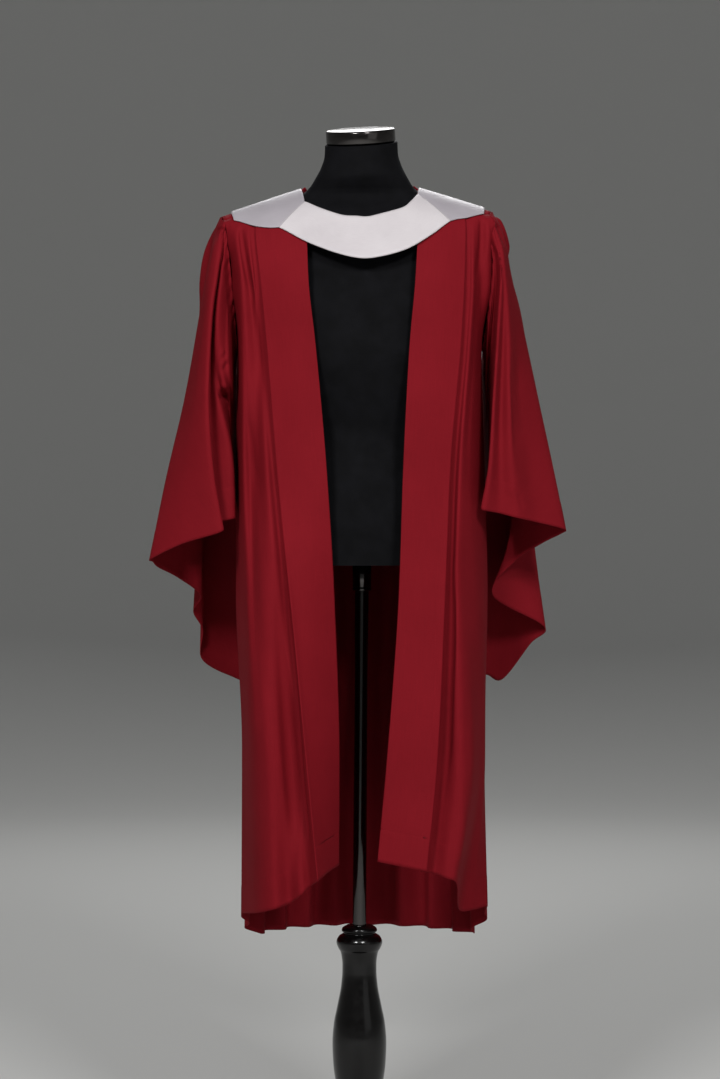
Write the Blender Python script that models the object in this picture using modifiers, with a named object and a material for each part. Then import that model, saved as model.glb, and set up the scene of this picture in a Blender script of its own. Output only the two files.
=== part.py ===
"""Graduation gown on a limbless dress form: the real pieces, at their real size.

Metres, +Z up. The origin is on the floor under the stand, and the gown's front faces -Y.
Tables are in millimetres, with a row for each fold or section and a named column for each place.
"""

import math
from collections import namedtuple

import bpy
from mathutils import Vector

# Driving dimensions, in metres
CLOTH_WALL = 0.0016
COLLAR_WALL = 0.0016
SEAM_GAP = 0.0004
LAYER_GAP = 0.0009
COLLAR_LIFT = 0.0031
COLLAR_STAND = 0.018
ARMHOLE_CLEARANCE = 0.0030
HEAD_CROWDING = 1.4
ARMHOLE_STEPS = 400

# The shoulders: height of the ridge beside the neck, its fall outward, its lean, and the arch over it
RIDGE_HEIGHT = 1.5975
RIDGE_START = 0.0985
RIDGE_FALL = 0.33
RIDGE_LEAN = 0.012
NECK_ROUNDING = 0.04
ARCH_RADIUS = 0.058
ARCH_CENTRE = 0.005

# Levels of the gown's body, in millimetres above the floor
CHEST, ARMPIT, WAIST, HIP, KNEE = 1440, 1340, 1150, 950, 700

# The fronts' tuck behind the pleat of their strips
TUCK_WIDTH = 0.010
TUCK_DEPTH = CLOTH_WALL + LAYER_GAP
PLEAT_STEP = 0.0016

# Flutes of the gathered back
FLUTES = 11
FLUTE_WANDER = 0.35
BACK_CORNER_COLUMNS = 14
BACK_HEM = 0.392

# Dress form and stand, in metres
FORM_CENTRE = 0.003
FORM_SQUARENESS = 2.35
NECK_PITCH = math.radians(13.0)
NECK_ROLL = math.radians(2.9)
CAP_RADIUS = 0.0556
CAP_HEIGHT = 0.0224
CAP_CENTRE = Vector((0.002, 0.0, 1.6829))
CAP_ROUNDING = 0.0025
POLE_RADIUS = 0.0110
POLE_FOOT = 0.4203
POLE_TOP = 0.9547
POLE_LEAN = 0.004
SOCKET_RADIUS = 0.0150
SOCKET_TOP = 0.9957

MM = 0.001
FINE_STEPS = 8

# Finishes: red, green and blue as seen (0 to 1), roughness and metallic value
Finish = namedtuple("Finish", "name colour roughness metallic")
CRIMSON = Finish("crimson_cloth", (0.50, 0.07, 0.10), 0.85, 0.0)
SATIN = Finish("white_satin", (0.80, 0.77, 0.79), 0.45, 0.0)
JERSEY = Finish("black_jersey", (0.07, 0.07, 0.08), 0.90, 0.0)
CHROME = Finish("polished_chrome", (0.78, 0.77, 0.76), 0.12, 1.0)
BLACK_GLOSS = Finish("black_gloss", (0.02, 0.02, 0.02), 0.18, 0.0)

# Fold lines of the fronts: (x, y) at each level; the hem adds its height
Fold = namedtuple("Fold", "name seam collar chest armpit waist hip knee hem")
BAND_LEFT = (
    Fold("opening", (-88, -47), (-83, -86), (-79, -120), (-68, -128), (-51, -133), (-39, -118),
         (-31, -106), (-32, -96, 528)),
    Fold("middle", (-124, -46), (-124, -82), (-117, -112), (-107, -120), (-90, -130), (-74, -138),
         (-58, -138), (-49, -134, 521)),
    Fold("pleat crest", (-160, -43), (-164, -71), (-155, -97), (-145, -106), (-129, -120), (-108, -149),
         (-83, -166), (-64, -171, 512)),
)
BAND_RIGHT = (
    Fold("opening", (92, -44), (92, -80), (87, -118), (78, -128), (68, -134), (61, -135),
         (43, -135), (28, -135, 538)),
    Fold("middle", (128, -43), (130, -76), (126, -110), (118, -120), (105, -129), (97, -136),
         (82, -141), (66, -142, 531)),
    Fold("pleat crest", (164, -39), (168, -66), (165, -95), (159, -106), (142, -118), (133, -131),
         (121, -141), (104, -145, 524)),
)
FRONT_LEFT = (
    Fold("beside the pleat", (-166, -42), (-169, -66), (-161, -89), (-150, -93), (-135, -110),
         (-115, -138), (-93, -142), (-76, -138, 500)),
    Fold("inner ridge", (-174, -41), (-176, -66), (-166, -92), (-157, -84), (-145, -114), (-129, -144),
         (-103, -128), (-90, -146, 488)),
    Fold("front trough", (-183, -39), (-186, -58), (-173, -80), (-165, -83), (-158, -94), (-149, -134),
         (-124, -144), (-108, -126, 472)),
    Fold("side ridge", (-191, -37), (-194, -58), (-184, -84), (-178, -88), (-171, -80), (-163, -112),
         (-146, -140), (-132, -140, 465)),
    Fold("side trough", (-201, -34), (-203, -50), (-194, -64), (-187, -70), (-184, -76), (-177, -92),
         (-169, -96), (-161, -98, 453)),
    Fold("side", (-216, -32), (-212, -44), (-201, -47), (-194, -2), (-197, 4), (-197, 4), (-187, 4),
         (-188, 4, 438)),
)
FRONT_RIGHT = (
    Fold("beside the pleat", (170, -37), (172, -61), (171, -86), (165, -95), (149, -104), (140, -118),
         (130, -119), (114, -121, 518)),
    Fold("inner ridge", (177, -36), (179, -60), (178, -88), (172, -98), (157, -114), (151, -130),
         (152, -136), (135, -134, 512)),
    Fold("front ridge", (184, -35), (186, -55), (184, -76), (179, -82), (167, -100), (166, -112),
         (176, -118), (151, -122, 502)),
    Fold("side trough", (192, -33), (194, -50), (192, -62), (186, -66), (176, -84), (186, -80),
         (191, -62), (158, -36, 450)),
    Fold("side ridge", (199, -32), (204, -49), (203, -56), (193, -40), (190, -48), (198, -46),
         (199, -34), (182, -12, 446)),
    Fold("side", (206, -30), (213, -45), (209, -46), (195, -2), (200, 4), (205, 4),
         (200, 4), (205, 4, 450)),
)

# The back between the side seams: half widths, side and centre depth, and depth of its flutes
BackLevel = namedtuple("BackLevel", "height left right side centre flute")
BACK_LEVELS = (
    BackLevel(1420, 197, 196, 66, 136, 1),
    BackLevel(ARMPIT, 195, 195, 4.8, 142, 5),
    BackLevel(WAIST, 197, 200, 4.8, 154, 7),
    BackLevel(HIP, 197, 205, 4.8, 166, 8),
    BackLevel(KNEE, 187, 200, 4.8, 178, 9),
    BackLevel(392, 188, 205, 4.8, 190, 10),
)

# Sections round the neck: (x, y) of the edge at the neck and of the outer edge
NeckSection = namedtuple("NeckSection", "name inner outer")
YOKE_LEFT = (
    NeckSection("front seam", (-90, -43), (-216, -31.5)),
    NeckSection("shoulder", (-98, 5), (-221, 8)),
    NeckSection("armhole, behind", (-93, 38), (-208, 58)),
    NeckSection("back corner", (-80, 58), (-190, 106)),
    NeckSection("blade", (-45, 80), (-110, 125)),
)
YOKE_RIGHT = (
    NeckSection("front seam", (90, -43), (206, -29.5)),
    NeckSection("shoulder", (98, 5), (212, 10)),
    NeckSection("armhole, behind", (93, 38), (206, 60)),
    NeckSection("back corner", (80, 58), (190, 106)),
    NeckSection("blade", (45, 80), (110, 125)),
)
YOKE_CENTRE = NeckSection("centre back", (0, 87), (0, 130))
COLLAR_FRONT = (
    NeckSection("left mitre", (-86, -53), (-126, -78)),
    NeckSection("left", (-61, -70), (-86, -100)),
    NeckSection("left of centre", (-30, -84), (-43, -116)),
    NeckSection("centre", (-5, -88), (-4, -124)),
    NeckSection("right of centre", (20, -87), (30, -122)),
    NeckSection("right", (64, -71), (75, -110)),
    NeckSection("beside the mitre", (80, -57), (114, -90)),
    NeckSection("right mitre", (92, -38), (143, -68)),
)
COLLAR_BACK = (
    NeckSection("left seam", (-87, 41), (-202, 41.2)),
    NeckSection("left blade", (-76, 60), (-150, 82)),
    NeckSection("left of centre", (-42, 78), (-72, 101)),
    NeckSection("centre", (0, 84), (0, 106)),
    NeckSection("right of centre", (42, 78), (72, 101)),
    NeckSection("right blade", (76, 60), (150, 82)),
    NeckSection("right seam", (87, 41), (198, 41.2)),
)

# Sections of the collar's shoulder pieces, from the mitre outward: (x, y) of each edge and bend
CapSection = namedtuple("CapSection", "name front bend ridge back")
COLLAR_SHOULDER_LEFT = (
    CapSection("mitre and neck", (-126, -78), (-86, -53), (-94, 5), (-90, 40)),
    CapSection("inner", (-143, -74), (-114, -46), (-119, 5), (-117, 40)),
    CapSection("outer", (-168, -64), (-152, -38), (-152, 6), (-150, 40)),
    CapSection("tip", (-198, -44), (-203, -21), (-204, 8), (-202, 38)),
)
COLLAR_SHOULDER_RIGHT = (
    CapSection("mitre and neck", (143, -68), (92, -38), (95, 5), (90, 40)),
    CapSection("inner", (155, -62), (117, -33), (119, 5), (117, 40)),
    CapSection("outer", (172, -54), (154, -28), (153, 6), (150, 40)),
    CapSection("tip", (197, -36), (199, -16), (199, 8), (198, 38)),
)

# Fold lines of the sleeves, round from the top of the shoulder by way of the front: the percentage
# of the way round the armhole where each starts, then its (x, y, z) at each place
SleeveFold = namedtuple("SleeveFold", "name start cap head arm upper elbow low hem")
SLEEVE_LEFT = (
    SleeveFold("recess", 1, (-231, 2, 1531), (-238, 2, 1497), (-246, 0, 1450), (-252, -14, 1390),
               (-279, -10, 1256), (-306, -12, 1134), (-329, -12, 1001)),
    SleeveFold("outer edge", 4.5, (-226, -28, 1528), (-233, -46, 1495), (-242, -50, 1450),
               (-254, -38, 1390), (-277, -28, 1260), (-305, -28, 1135), (-331, -30, 1006)),
    SleeveFold("front", 8, (-222, -48, 1521), (-227, -66, 1488), (-234, -74, 1447), (-243, -82, 1387),
               (-257, -80, 1260), (-271, -75, 1140), (-279, -70, 1030)),
    SleeveFold("front crest", 10.5, (-216, -54, 1514), (-219, -70, 1486), (-224, -82, 1446),
               (-231, -96, 1385), (-236, -104, 1255), (-229, -104, 1143), (-214, -100, 1050)),
    SleeveFold("front trough", 13.5, (-214, -48, 1508), (-217, -56, 1482), (-223, -62, 1444),
               (-231, -66, 1385), (-238, -60, 1262), (-235, -62, 1155), (-229, -66, 1062)),
    SleeveFold("second ridge", 17, (-211, -55, 1492), (-214, -66, 1474), (-218, -76, 1440),
               (-224, -84, 1372), (-226, -70, 1285), (-203, -68, 1175), (-198, -60, 1070)),
    SleeveFold("second layer", 23, (-208, -53, 1459), (-210, -60, 1444), (-211, -67, 1412),
               (-213, -75, 1290), (-211, -28, 1256), (-203, -20, 1165), (-200, -34, 1074)),
    SleeveFold("inner front", 34, (-203, -42, 1398), (-205, -48, 1382), (-204, -56, 1350),
               (-203, -61, 1290), (-205, -18, 1254), (-203, -12, 1165), (-201, -20, 1078)),
    SleeveFold("armpit", 48, (-197, 1, 1330), (-198, 4, 1319), (-199, 8, 1306), (-199, 12, 1290),
               (-199, 24, 1250), (-200, 32, 1170), (-201, 30, 1095)),
    SleeveFold("inner back", 60, (-201, 41, 1369), (-203, 38, 1356), (-202, 43, 1336), (-197, 48, 1314),
               (-194, 60, 1250), (-193, 68, 1150), (-196, 68, 1060)),
    SleeveFold("inner blade", 65, (-204, 59, 1395), (-209, 60, 1386), (-207, 66, 1358), (-198, 72, 1328),
               (-189, 90, 1240), (-187, 104, 1110), (-190, 114, 980)),
    SleeveFold("low inner back", 70, (-204, 71, 1424), (-209, 76, 1420), (-208, 84, 1385),
               (-200, 92, 1348), (-194, 114, 1230), (-188, 136, 1060), (-182, 160, 890)),
    SleeveFold("back crest", 75, (-207, 79, 1456), (-210, 90, 1455), (-212, 98, 1414), (-211, 106, 1370),
               (-209, 130, 1220), (-198, 160, 1020), (-172, 201, 800)),
    SleeveFold("back", 80, (-211, 80, 1484), (-215, 94, 1482), (-220, 104, 1435), (-222, 114, 1385),
               (-228, 138, 1225), (-230, 163, 1010), (-216, 194, 808)),
    SleeveFold("outer back crest", 85, (-216, 75, 1507), (-223, 88, 1497), (-232, 96, 1446),
               (-237, 104, 1390), (-249, 127, 1225), (-257, 147, 1030), (-262, 163, 838)),
    SleeveFold("outer notch", 87.3, (-224, 76, 1517), (-228, 80, 1502), (-240, 88, 1446), (-243, 93, 1390),
               (-254, 112, 1230), (-259, 128, 1060), (-259, 138, 886)),
    SleeveFold("outer trough", 89, (-221, 64, 1525), (-230, 72, 1511), (-241, 77, 1453),
               (-247, 82, 1390), (-257, 99, 1235), (-264, 114, 1080), (-273, 117, 918)),
    SleeveFold("inner tuck", 92.5, (-227, 49, 1535), (-237, 52, 1515), (-247, 54, 1455),
               (-253, 56, 1390), (-254, 63, 1240), (-254, 72, 1110), (-259, 86, 945)),
    SleeveFold("under the tip", 94.5, (-232, 40, 1529), (-248, 42, 1494), (-257, 44, 1450),
               (-258, 32, 1390), (-268, 29, 1240), (-280, 32, 1120), (-293, 42, 975)),
    SleeveFold("behind the tip", 97, (-235, 22, 1533), (-250, 22, 1497), (-256, 20, 1452),
               (-256, 6, 1392), (-279, 3, 1250), (-303, 0, 1130), (-322, 6, 992)),
)
SLEEVE_RIGHT = (
    SleeveFold("recess", 1, (221, 2, 1541), (230, 4, 1508), (238, 0, 1466), (258, -8, 1390),
               (287, -6, 1250), (309, -8, 1140), (322, -8, 1046)),
    SleeveFold("outer edge", 4.5, (222, -14, 1543), (233, -30, 1506), (240, -34, 1462), (256, -24, 1390),
               (284, -22, 1250), (307, -22, 1140), (327, -20, 1053)),
    SleeveFold("front", 8, (218, -34, 1537), (229, -52, 1498), (235, -60, 1456), (244, -58, 1390),
               (257, -54, 1255), (268, -54, 1150), (282, -50, 1064)),
    SleeveFold("front ridge", 11, (215, -46, 1533), (226, -64, 1494), (230, -76, 1450), (234, -84, 1385),
               (238, -88, 1255), (242, -86, 1150), (248, -76, 1071)),
    SleeveFold("front trough", 13, (213, -50, 1529), (223, -70, 1488), (226, -80, 1446),
               (226, -84, 1388), (222, -78, 1260), (221, -80, 1150), (221, -76, 1078)),
    SleeveFold("front crest", 15, (211, -52, 1523), (219, -72, 1484), (221, -86, 1443), (217, -94, 1385),
               (209, -97, 1255), (202, -96, 1150), (191, -94, 1084)),
    SleeveFold("deep fold", 18, (209, -48, 1508), (215, -56, 1478), (217, -56, 1443), (214, -42, 1385),
               (213, -14, 1280), (210, -20, 1160), (204, -50, 1092)),
    SleeveFold("gathers", 23, (211, -55, 1474), (212, -57, 1456), (211, -52, 1424), (207, -32, 1360),
               (207, 10, 1300), (208, 8, 1170), (208, -20, 1099)),
    SleeveFold("inner front", 34, (205, -41, 1402), (205, -41, 1386), (204, -35, 1362), (203, -18, 1328),
               (206, 18, 1272), (207, 20, 1172), (209, 6, 1101)),
    SleeveFold("armpit", 48, (199, 2, 1332), (200, 4, 1322), (200, 7, 1311), (201, 11, 1298),
               (204, 26, 1250), (207, 32, 1170), (208, 28, 1105)),
    SleeveFold("inner back", 60, (202, 41, 1368), (205, 38, 1356), (204, 43, 1336), (199, 48, 1314),
               (200, 60, 1250), (202, 68, 1150), (204, 68, 1060)),
    SleeveFold("inner blade", 64.5, (204, 58, 1393), (210, 60, 1386), (208, 66, 1358), (200, 72, 1328),
               (197, 90, 1240), (197, 104, 1110), (198, 112, 980)),
    SleeveFold("low inner back", 69, (205, 71, 1421), (211, 76, 1420), (211, 84, 1385), (203, 92, 1348),
               (200, 114, 1230), (198, 136, 1060), (194, 156, 890)),
    SleeveFold("back crest", 73.5, (208, 79, 1452), (213, 90, 1455), (215, 99, 1414), (214, 108, 1370),
               (212, 130, 1220), (206, 160, 1020), (186, 197, 815)),
    SleeveFold("back", 77.5, (211, 81, 1476), (217, 94, 1480), (222, 104, 1434), (224, 114, 1385),
               (230, 138, 1225), (234, 162, 1010), (214, 197, 810)),
    SleeveFold("low back", 81, (214, 77, 1493), (222, 88, 1493), (230, 97, 1444), (234, 107, 1390),
               (247, 131, 1225), (256, 152, 1030), (240, 190, 803)),
    SleeveFold("low outer back", 85, (217, 72, 1509), (227, 80, 1500), (235, 88, 1447), (240, 96, 1390),
               (257, 121, 1228), (273, 140, 1040), (284, 160, 863)),
    SleeveFold("outer back crest", 89, (221, 63, 1524), (232, 66, 1505), (241, 73, 1450),
               (246, 80, 1390), (264, 103, 1230), (284, 118, 1060), (305, 130, 893)),
    SleeveFold("inner tuck", 92.5, (226, 49, 1535), (236, 46, 1507), (245, 50, 1451), (249, 54, 1390),
               (240, 64, 1235), (249, 68, 1040), (217, 72, 946)),
    SleeveFold("under the tip", 94.5, (226, 32, 1545), (239, 34, 1507), (240, 34, 1472), (254, 30, 1390),
               (260, 34, 1245), (256, 42, 1120), (250, 50, 1000)),
    SleeveFold("behind the tip", 97, (228, 16, 1549), (240.5, 16, 1511), (239, 12, 1476), (260, 6, 1390),
               (276, 8, 1248), (288, 8, 1135), (292, 14, 1030)),
)

# The dress form's level sections: half width, front and back depth
FormLevel = namedtuple("FormLevel", "height half_width front back")
FORM_LEVELS = (
    FormLevel(996, 155, -100, 118),
    FormLevel(1060, 163, -104, 124),
    FormLevel(1120, 152, -98, 108),
    FormLevel(1200, 128, -88, 82),
    FormLevel(1270, 138, -107, 86),
    FormLevel(1330, 150, -121, 94),
    FormLevel(1400, 161, -112, 98),
    FormLevel(1460, 168, -94, 96),
    FormLevel(1510, 172, -80, 90),
    FormLevel(1540, 168, -70, 78),
    FormLevel(1561, 156, -55, 66),
    FormLevel(1575.6, 138, -41, 54),
    FormLevel(1584.6, 111, -38, 50),
    FormLevel(1592.6, 92, -41, 51),
    FormLevel(1602, 82, -48, 53),
    FormLevel(1617, 73, -55, 57),
    FormLevel(1635, 64, -56, 57),
    FormLevel(1652, 59, -57, 57),
    FormLevel(1671, 58, -57, 57),
)
SHOULDER_START, NECK_START = 1.460, 1.602

# Turned profiles, top to bottom: radius and height
Turn = namedtuple("Turn", "radius height")
POST_PROFILE = (
    Turn(0, 420), Turn(20, 420), Turn(27.5, 415), Turn(28.5, 411), Turn(25.5, 407.5), Turn(33, 402),
    Turn(36.8, 393), Turn(33.5, 383), Turn(30, 377), Turn(27.3, 358), Turn(27.4, 345), Turn(29.4, 322),
    Turn(35.5, 290), Turn(41, 262), Turn(43.2, 232), Turn(42, 200), Turn(37.5, 166), Turn(29.5, 130),
    Turn(23, 100), Turn(21, 82), Turn(23.5, 70), Turn(34, 64), Turn(37, 58), Turn(34, 50.3), Turn(0, 50.3),
)
BASE_PROFILE = (
    Turn(0, 50), Turn(38, 50), Turn(44, 46), Turn(62, 40), Turn(104, 32), Turn(146, 25), Turn(163, 20),
    Turn(170, 15), Turn(172, 9), Turn(171, 2), Turn(169, 0), Turn(0, 0),
)


def clear_scene():
    """Remove everything in the file, so that the script builds the same scene each time."""
    for item in list(bpy.data.objects):
        bpy.data.objects.remove(item, do_unlink=True)
    for group in list(bpy.data.collections):
        bpy.data.collections.remove(group)


def to_linear(value):
    """Turn a colour value as seen into the linear value that a shader takes."""
    return value / 12.92 if value <= 0.04045 else ((value + 0.055) / 1.055) ** 2.4


def make_material(name, finish):
    """Give a piece its own material."""
    material = bpy.data.materials.new(f"{name}_{finish.name}")
    material.use_nodes = True
    shader = material.node_tree.nodes["Principled BSDF"]
    shader.inputs["Base Color"].default_value = (*(to_linear(part) for part in finish.colour), 1.0)
    shader.inputs["Roughness"].default_value = finish.roughness
    shader.inputs["Metallic"].default_value = finish.metallic
    return material


def add_object(name, data, finish, home):
    """Place a mesh or curve in the part's collection, under its empty."""
    item = bpy.data.objects.new(name, data)
    data.materials.append(make_material(name, finish))
    home["collection"].objects.link(item)
    item.parent = home["empty"]
    return item


def free_slope(before, here, after):
    """Slope of a smooth curve at a point: along the line between its neighbours."""
    return (after - before) * 0.5


def hung_slope(before, here, after):
    """Slope that never swings a curve past its own points, for a line of hanging cloth."""
    slope = Vector((0.0, 0.0, 0.0))
    for axis in range(3):
        first, second = here[axis] - before[axis], after[axis] - here[axis]
        if first * second > 0:
            slope[axis] = 2 * first * second / (first + second)
    return slope


def spline(points, place, slope):
    """Point of a smooth curve that passes through the points; place runs from 0 to their last index."""
    last = len(points) - 1
    index = min(int(place), last - 1)
    share = place - index
    start, end = points[index], points[index + 1]
    before = points[index - 1] if index > 0 else start * 2 - end
    after = points[index + 2] if index + 2 <= last else end * 2 - start
    slope_in = slope(before, start, end)
    slope_out = slope(start, end, after)
    square = share * share
    cube = square * share
    return (start * (2 * cube - 3 * square + 1) + slope_in * (cube - 2 * square + share)
            + end * (3 * square - 2 * cube) + slope_out * (cube - square))


def even_points(fine, spans, crowding=1.0):
    """Points that part a finely stepped curve evenly, or closer near its start if crowding is over 1."""
    lengths = [0.0]
    for start, end in zip(fine, fine[1:]):
        lengths.append(lengths[-1] + (end - start).length)
    even = []
    index = 0
    for step in range(spans + 1):
        goal = lengths[-1] * (step / spans) ** crowding
        while index < len(fine) - 2 and lengths[index + 1] < goal:
            index += 1
        span = max(lengths[index + 1] - lengths[index], 1e-9)
        even.append(fine[index].lerp(fine[index + 1], min((goal - lengths[index]) / span, 1.0)))
    return even


def resample(points, count, slope=free_slope, crowding=1.0):
    """A smooth curve through the points, as count points along it."""
    steps = FINE_STEPS * count
    fine = [spline(points, step * (len(points) - 1) / steps, slope) for step in range(steps + 1)]
    return even_points(fine, count - 1, crowding)


def resample_ring(points, count):
    """A closed curve through the points, as count points evenly spaced round it."""
    return even_points(fine_ring(points, FINE_STEPS * count), count)[:-1]


def fine_ring(points, steps):
    """A closed curve through the points in fine steps; its last point is its first again."""
    lapped = points[-2:] + points + points[:3]
    return [spline(lapped, 2 + step * len(points) / steps, free_slope) for step in range(steps + 1)]


def shoulder(x, y, lift=0.0):
    """Point of the cloth over the shoulders and the upper chest, at a plan place in metres."""
    reach = math.hypot(x, NECK_ROUNDING)
    ridge = RIDGE_HEIGHT - RIDGE_FALL * (reach - RIDGE_START) + RIDGE_LEAN * x
    fall = (y - ARCH_CENTRE) ** 2 / (2 * ARCH_RADIUS)
    point = Vector((x, y, ridge - fall))
    out = Vector((RIDGE_FALL * x / reach - RIDGE_LEAN, (y - ARCH_CENTRE) / ARCH_RADIUS, 1.0))
    return point + out.normalized() * lift


def place(cell):
    """A table's (x, y, z) cell in metres."""
    return Vector(cell) * MM


def fold_line(fold, lift=0.0):
    """A front's fold line, from the seam at the yoke down to the hem."""
    line = [shoulder(cell[0] * MM, cell[1] * MM, lift) for cell in (fold.seam, fold.collar)]
    levels = (CHEST, ARMPIT, WAIST, HIP, KNEE)
    cells = (fold.chest, fold.armpit, fold.waist, fold.hip, fold.knee)
    line.extend(place((*cell, height)) for cell, height in zip(cells, levels))
    line.append(place(fold.hem))
    return line


def grid_from_lines(lines, across, down):
    """Rows of points over a panel: its lines are smoothed along their length, then across."""
    columns = [resample(line, down, hung_slope) for line in lines]
    return [resample([column[row] for column in columns], across) for row in range(down)]


def trim_sides(grid, first, last):
    """Draw a panel's side edges in by the given widths, for the gap at its seams."""
    for row in grid:
        row[0] = row[0] + (row[1] - row[0]).normalized() * first
        row[-1] = row[-1] + (row[-2] - row[-1]).normalized() * last


def trim_top(grid, width, corner_width=0.0, corner_columns=1):
    """Draw a panel's top edge down by the given width, and further at its corners, where it turns."""
    last = len(grid[0]) - 1
    for column, point in enumerate(grid[0]):
        nearness = max(0.0, 1.0 - min(column, last - column) / corner_columns)
        drop = width + corner_width * nearness
        grid[0][column] = point + (grid[1][column] - point).normalized() * drop


def add_sheet(name, grid, wall, finish, home, closed=False):
    """Make a cloth wall through a grid of points; a closed grid is a tube."""
    down, across = len(grid), len(grid[0])
    spans = across if closed else across - 1
    faces = []
    for row in range(down - 1):
        for column in range(spans):
            beside = (column + 1) % across
            faces.append((row * across + column, (row + 1) * across + column,
                          (row + 1) * across + beside, row * across + beside))
    mesh = bpy.data.meshes.new(name)
    mesh.from_pydata([point for row in grid for point in row], [], faces)
    mesh.shade_smooth()
    item = add_object(name, mesh, finish, home)
    solidify = item.modifiers.new("wall", "SOLIDIFY")
    solidify.thickness = wall
    solidify.offset = 0.0
    return item


def tuck_line(crest, middle, side):
    """Edge of a front behind its strip's pleat: in from the crest and behind the strip."""
    line = []
    for outer, inner in zip(crest, middle):
        inward = inner - outer
        inward.z = 0.0
        inward.normalize()
        behind = Vector((side * inward.y, -side * inward.x, 0.0))
        line.append(outer + inward * TUCK_WIDTH + behind * TUCK_DEPTH)
    for index in range(2):
        line[index] = shoulder(line[index].x, line[index].y - TUCK_DEPTH, -TUCK_DEPTH)
    return line


def add_front(side_name, side, band_table, front_table, home):
    """Make a front strip, with its pleat crest, and the front beside it."""
    band_lines = [fold_line(fold) for fold in band_table]
    band = grid_from_lines(band_lines, 6, 14)
    trim_top(band, SEAM_GAP)
    add_sheet(f"band_{side_name}", band, CLOTH_WALL, CRIMSON, home)
    tuck = tuck_line(band_lines[-1], band_lines[-2], side)
    front_lines = [tuck, fold_line(front_table[0], -PLEAT_STEP)]
    front_lines.extend(fold_line(fold) for fold in front_table[1:])
    front = grid_from_lines(front_lines, 20, 14)
    trim_top(front, SEAM_GAP)
    trim_sides(front, 0.0, SEAM_GAP / 2)
    add_sheet(f"front_{side_name}", front, CLOTH_WALL, CRIMSON, home)


def yoke_sections():
    """The yoke's sections, from the left front seam round the back to the right one."""
    return list(YOKE_LEFT) + [YOKE_CENTRE] + list(reversed(YOKE_RIGHT))


def neck_grid(sections, across, down, lift, stand=0.0):
    """Grid of a piece round the neck, raised onto the shoulders; its inner edge may stand up."""
    inner = resample([Vector((*row.inner, 0.0)) * MM for row in sections], across)
    outer = resample([Vector((*row.outer, 0.0)) * MM for row in sections], across)
    grid = []
    for row in range(down):
        share = row / (down - 1)
        line = [start.lerp(end, share) for start, end in zip(inner, outer)]
        rise = Vector((0.0, 0.0, stand * (1 - share) ** 3))
        grid.append([shoulder(point.x, point.y, lift) + rise for point in line])
    return grid


def add_yoke(home):
    """Make the yoke that carries the fronts, the back and the sleeve heads."""
    grid = neck_grid(yoke_sections(), 35, 5, 0.0)
    add_sheet("gown_yoke", grid, CLOTH_WALL, CRIMSON, home)
    return grid[-1]


def back_wave(share):
    """Height of the back's flutes across it, from -1 to 1, uneven and still at the side seams."""
    wander = FLUTE_WANDER * math.sin(2 * math.pi * 2.5 * share + 0.8)
    fade = min(1.0, 9 * share, 9 * (1 - share))
    return fade * math.sin(2 * math.pi * FLUTES * share + wander)


def back_line(share, top):
    """One line down the back, from the yoke's edge to the hem."""
    angle = math.pi * share
    wave = back_wave(share)
    line = [top]
    for level in BACK_LEVELS:
        half = level.left if share < 0.5 else level.right
        x = -half * math.cos(angle)
        y = level.side + (level.centre - level.side) * math.sin(angle)
        outward = Vector((-math.cos(angle), math.sin(angle), 0.0))
        height = level.height
        if level is BACK_LEVELS[-1]:
            side_hem = FRONT_LEFT[-1].hem[2] if share < 0.5 else FRONT_RIGHT[-1].hem[2]
            height = side_hem + (BACK_HEM / MM - side_hem) * min(1.0, 2.2 * math.sin(angle))
        line.append(place((x, y, height)) + outward * (level.flute * wave * MM))
    return line


def add_back(yoke_edge, home):
    """Make the gathered back, hung from the yoke's lower edge."""
    across, down = 67, 10
    corner = min(YOKE_LEFT[2].outer[1], YOKE_RIGHT[2].outer[1])
    behind = [point for point in yoke_edge if point.y > corner * MM - 0.001]
    top = resample(behind, across)
    lines = [resample(back_line(column / (across - 1), top[column]), down, hung_slope)
             for column in range(across)]
    grid = [[line[row] for line in lines] for row in range(down)]
    trim_top(grid, 2 * SEAM_GAP, CLOTH_WALL, BACK_CORNER_COLUMNS)
    trim_sides(grid, SEAM_GAP / 2, SEAM_GAP / 2)
    add_sheet("gown_back", grid, CLOTH_WALL, CRIMSON, home)


def armhole_starts(side, front_table, sleeve_table):
    """Where each fold line of a sleeve starts on the armhole's edge."""
    front_edge = fold_line(front_table[-1])
    half = BACK_LEVELS[0].left if side < 0 else BACK_LEVELS[0].right
    yoke = YOKE_LEFT if side < 0 else YOKE_RIGHT
    top, behind = yoke[1].outer, yoke[2].outer
    corners = [
        shoulder(top[0] * MM, top[1] * MM),
        front_edge[0],
        front_edge[1],
        front_edge[2],
        front_edge[3],
        place((side * half, BACK_LEVELS[0].side, BACK_LEVELS[0].height)),
        shoulder(behind[0] * MM, behind[1] * MM),
    ]
    clear = Vector((side * ARMHOLE_CLEARANCE, 0.0, 0.0))
    fine = even_points(fine_ring(corners, ARMHOLE_STEPS), ARMHOLE_STEPS)
    return [fine[round(row.start / 100 * ARMHOLE_STEPS)] + clear for row in sleeve_table]


def add_sleeve(side_name, side, table, front_table, home):
    """Make a wide sleeve: a tube from the armhole, folded in plan, with an open slanting hem."""
    around, down = 40, 12
    lines = []
    for start, fold in zip(armhole_starts(side, front_table, table), table):
        cells = [place(cell) for cell in fold[2:]]
        lines.append(resample([start] + cells, down, free_slope, HEAD_CROWDING))
    grid = [resample_ring([line[row] for line in lines], around) for row in range(down)]
    add_sheet(f"sleeve_{side_name}", grid, CLOTH_WALL, CRIMSON, home, closed=True)


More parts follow.
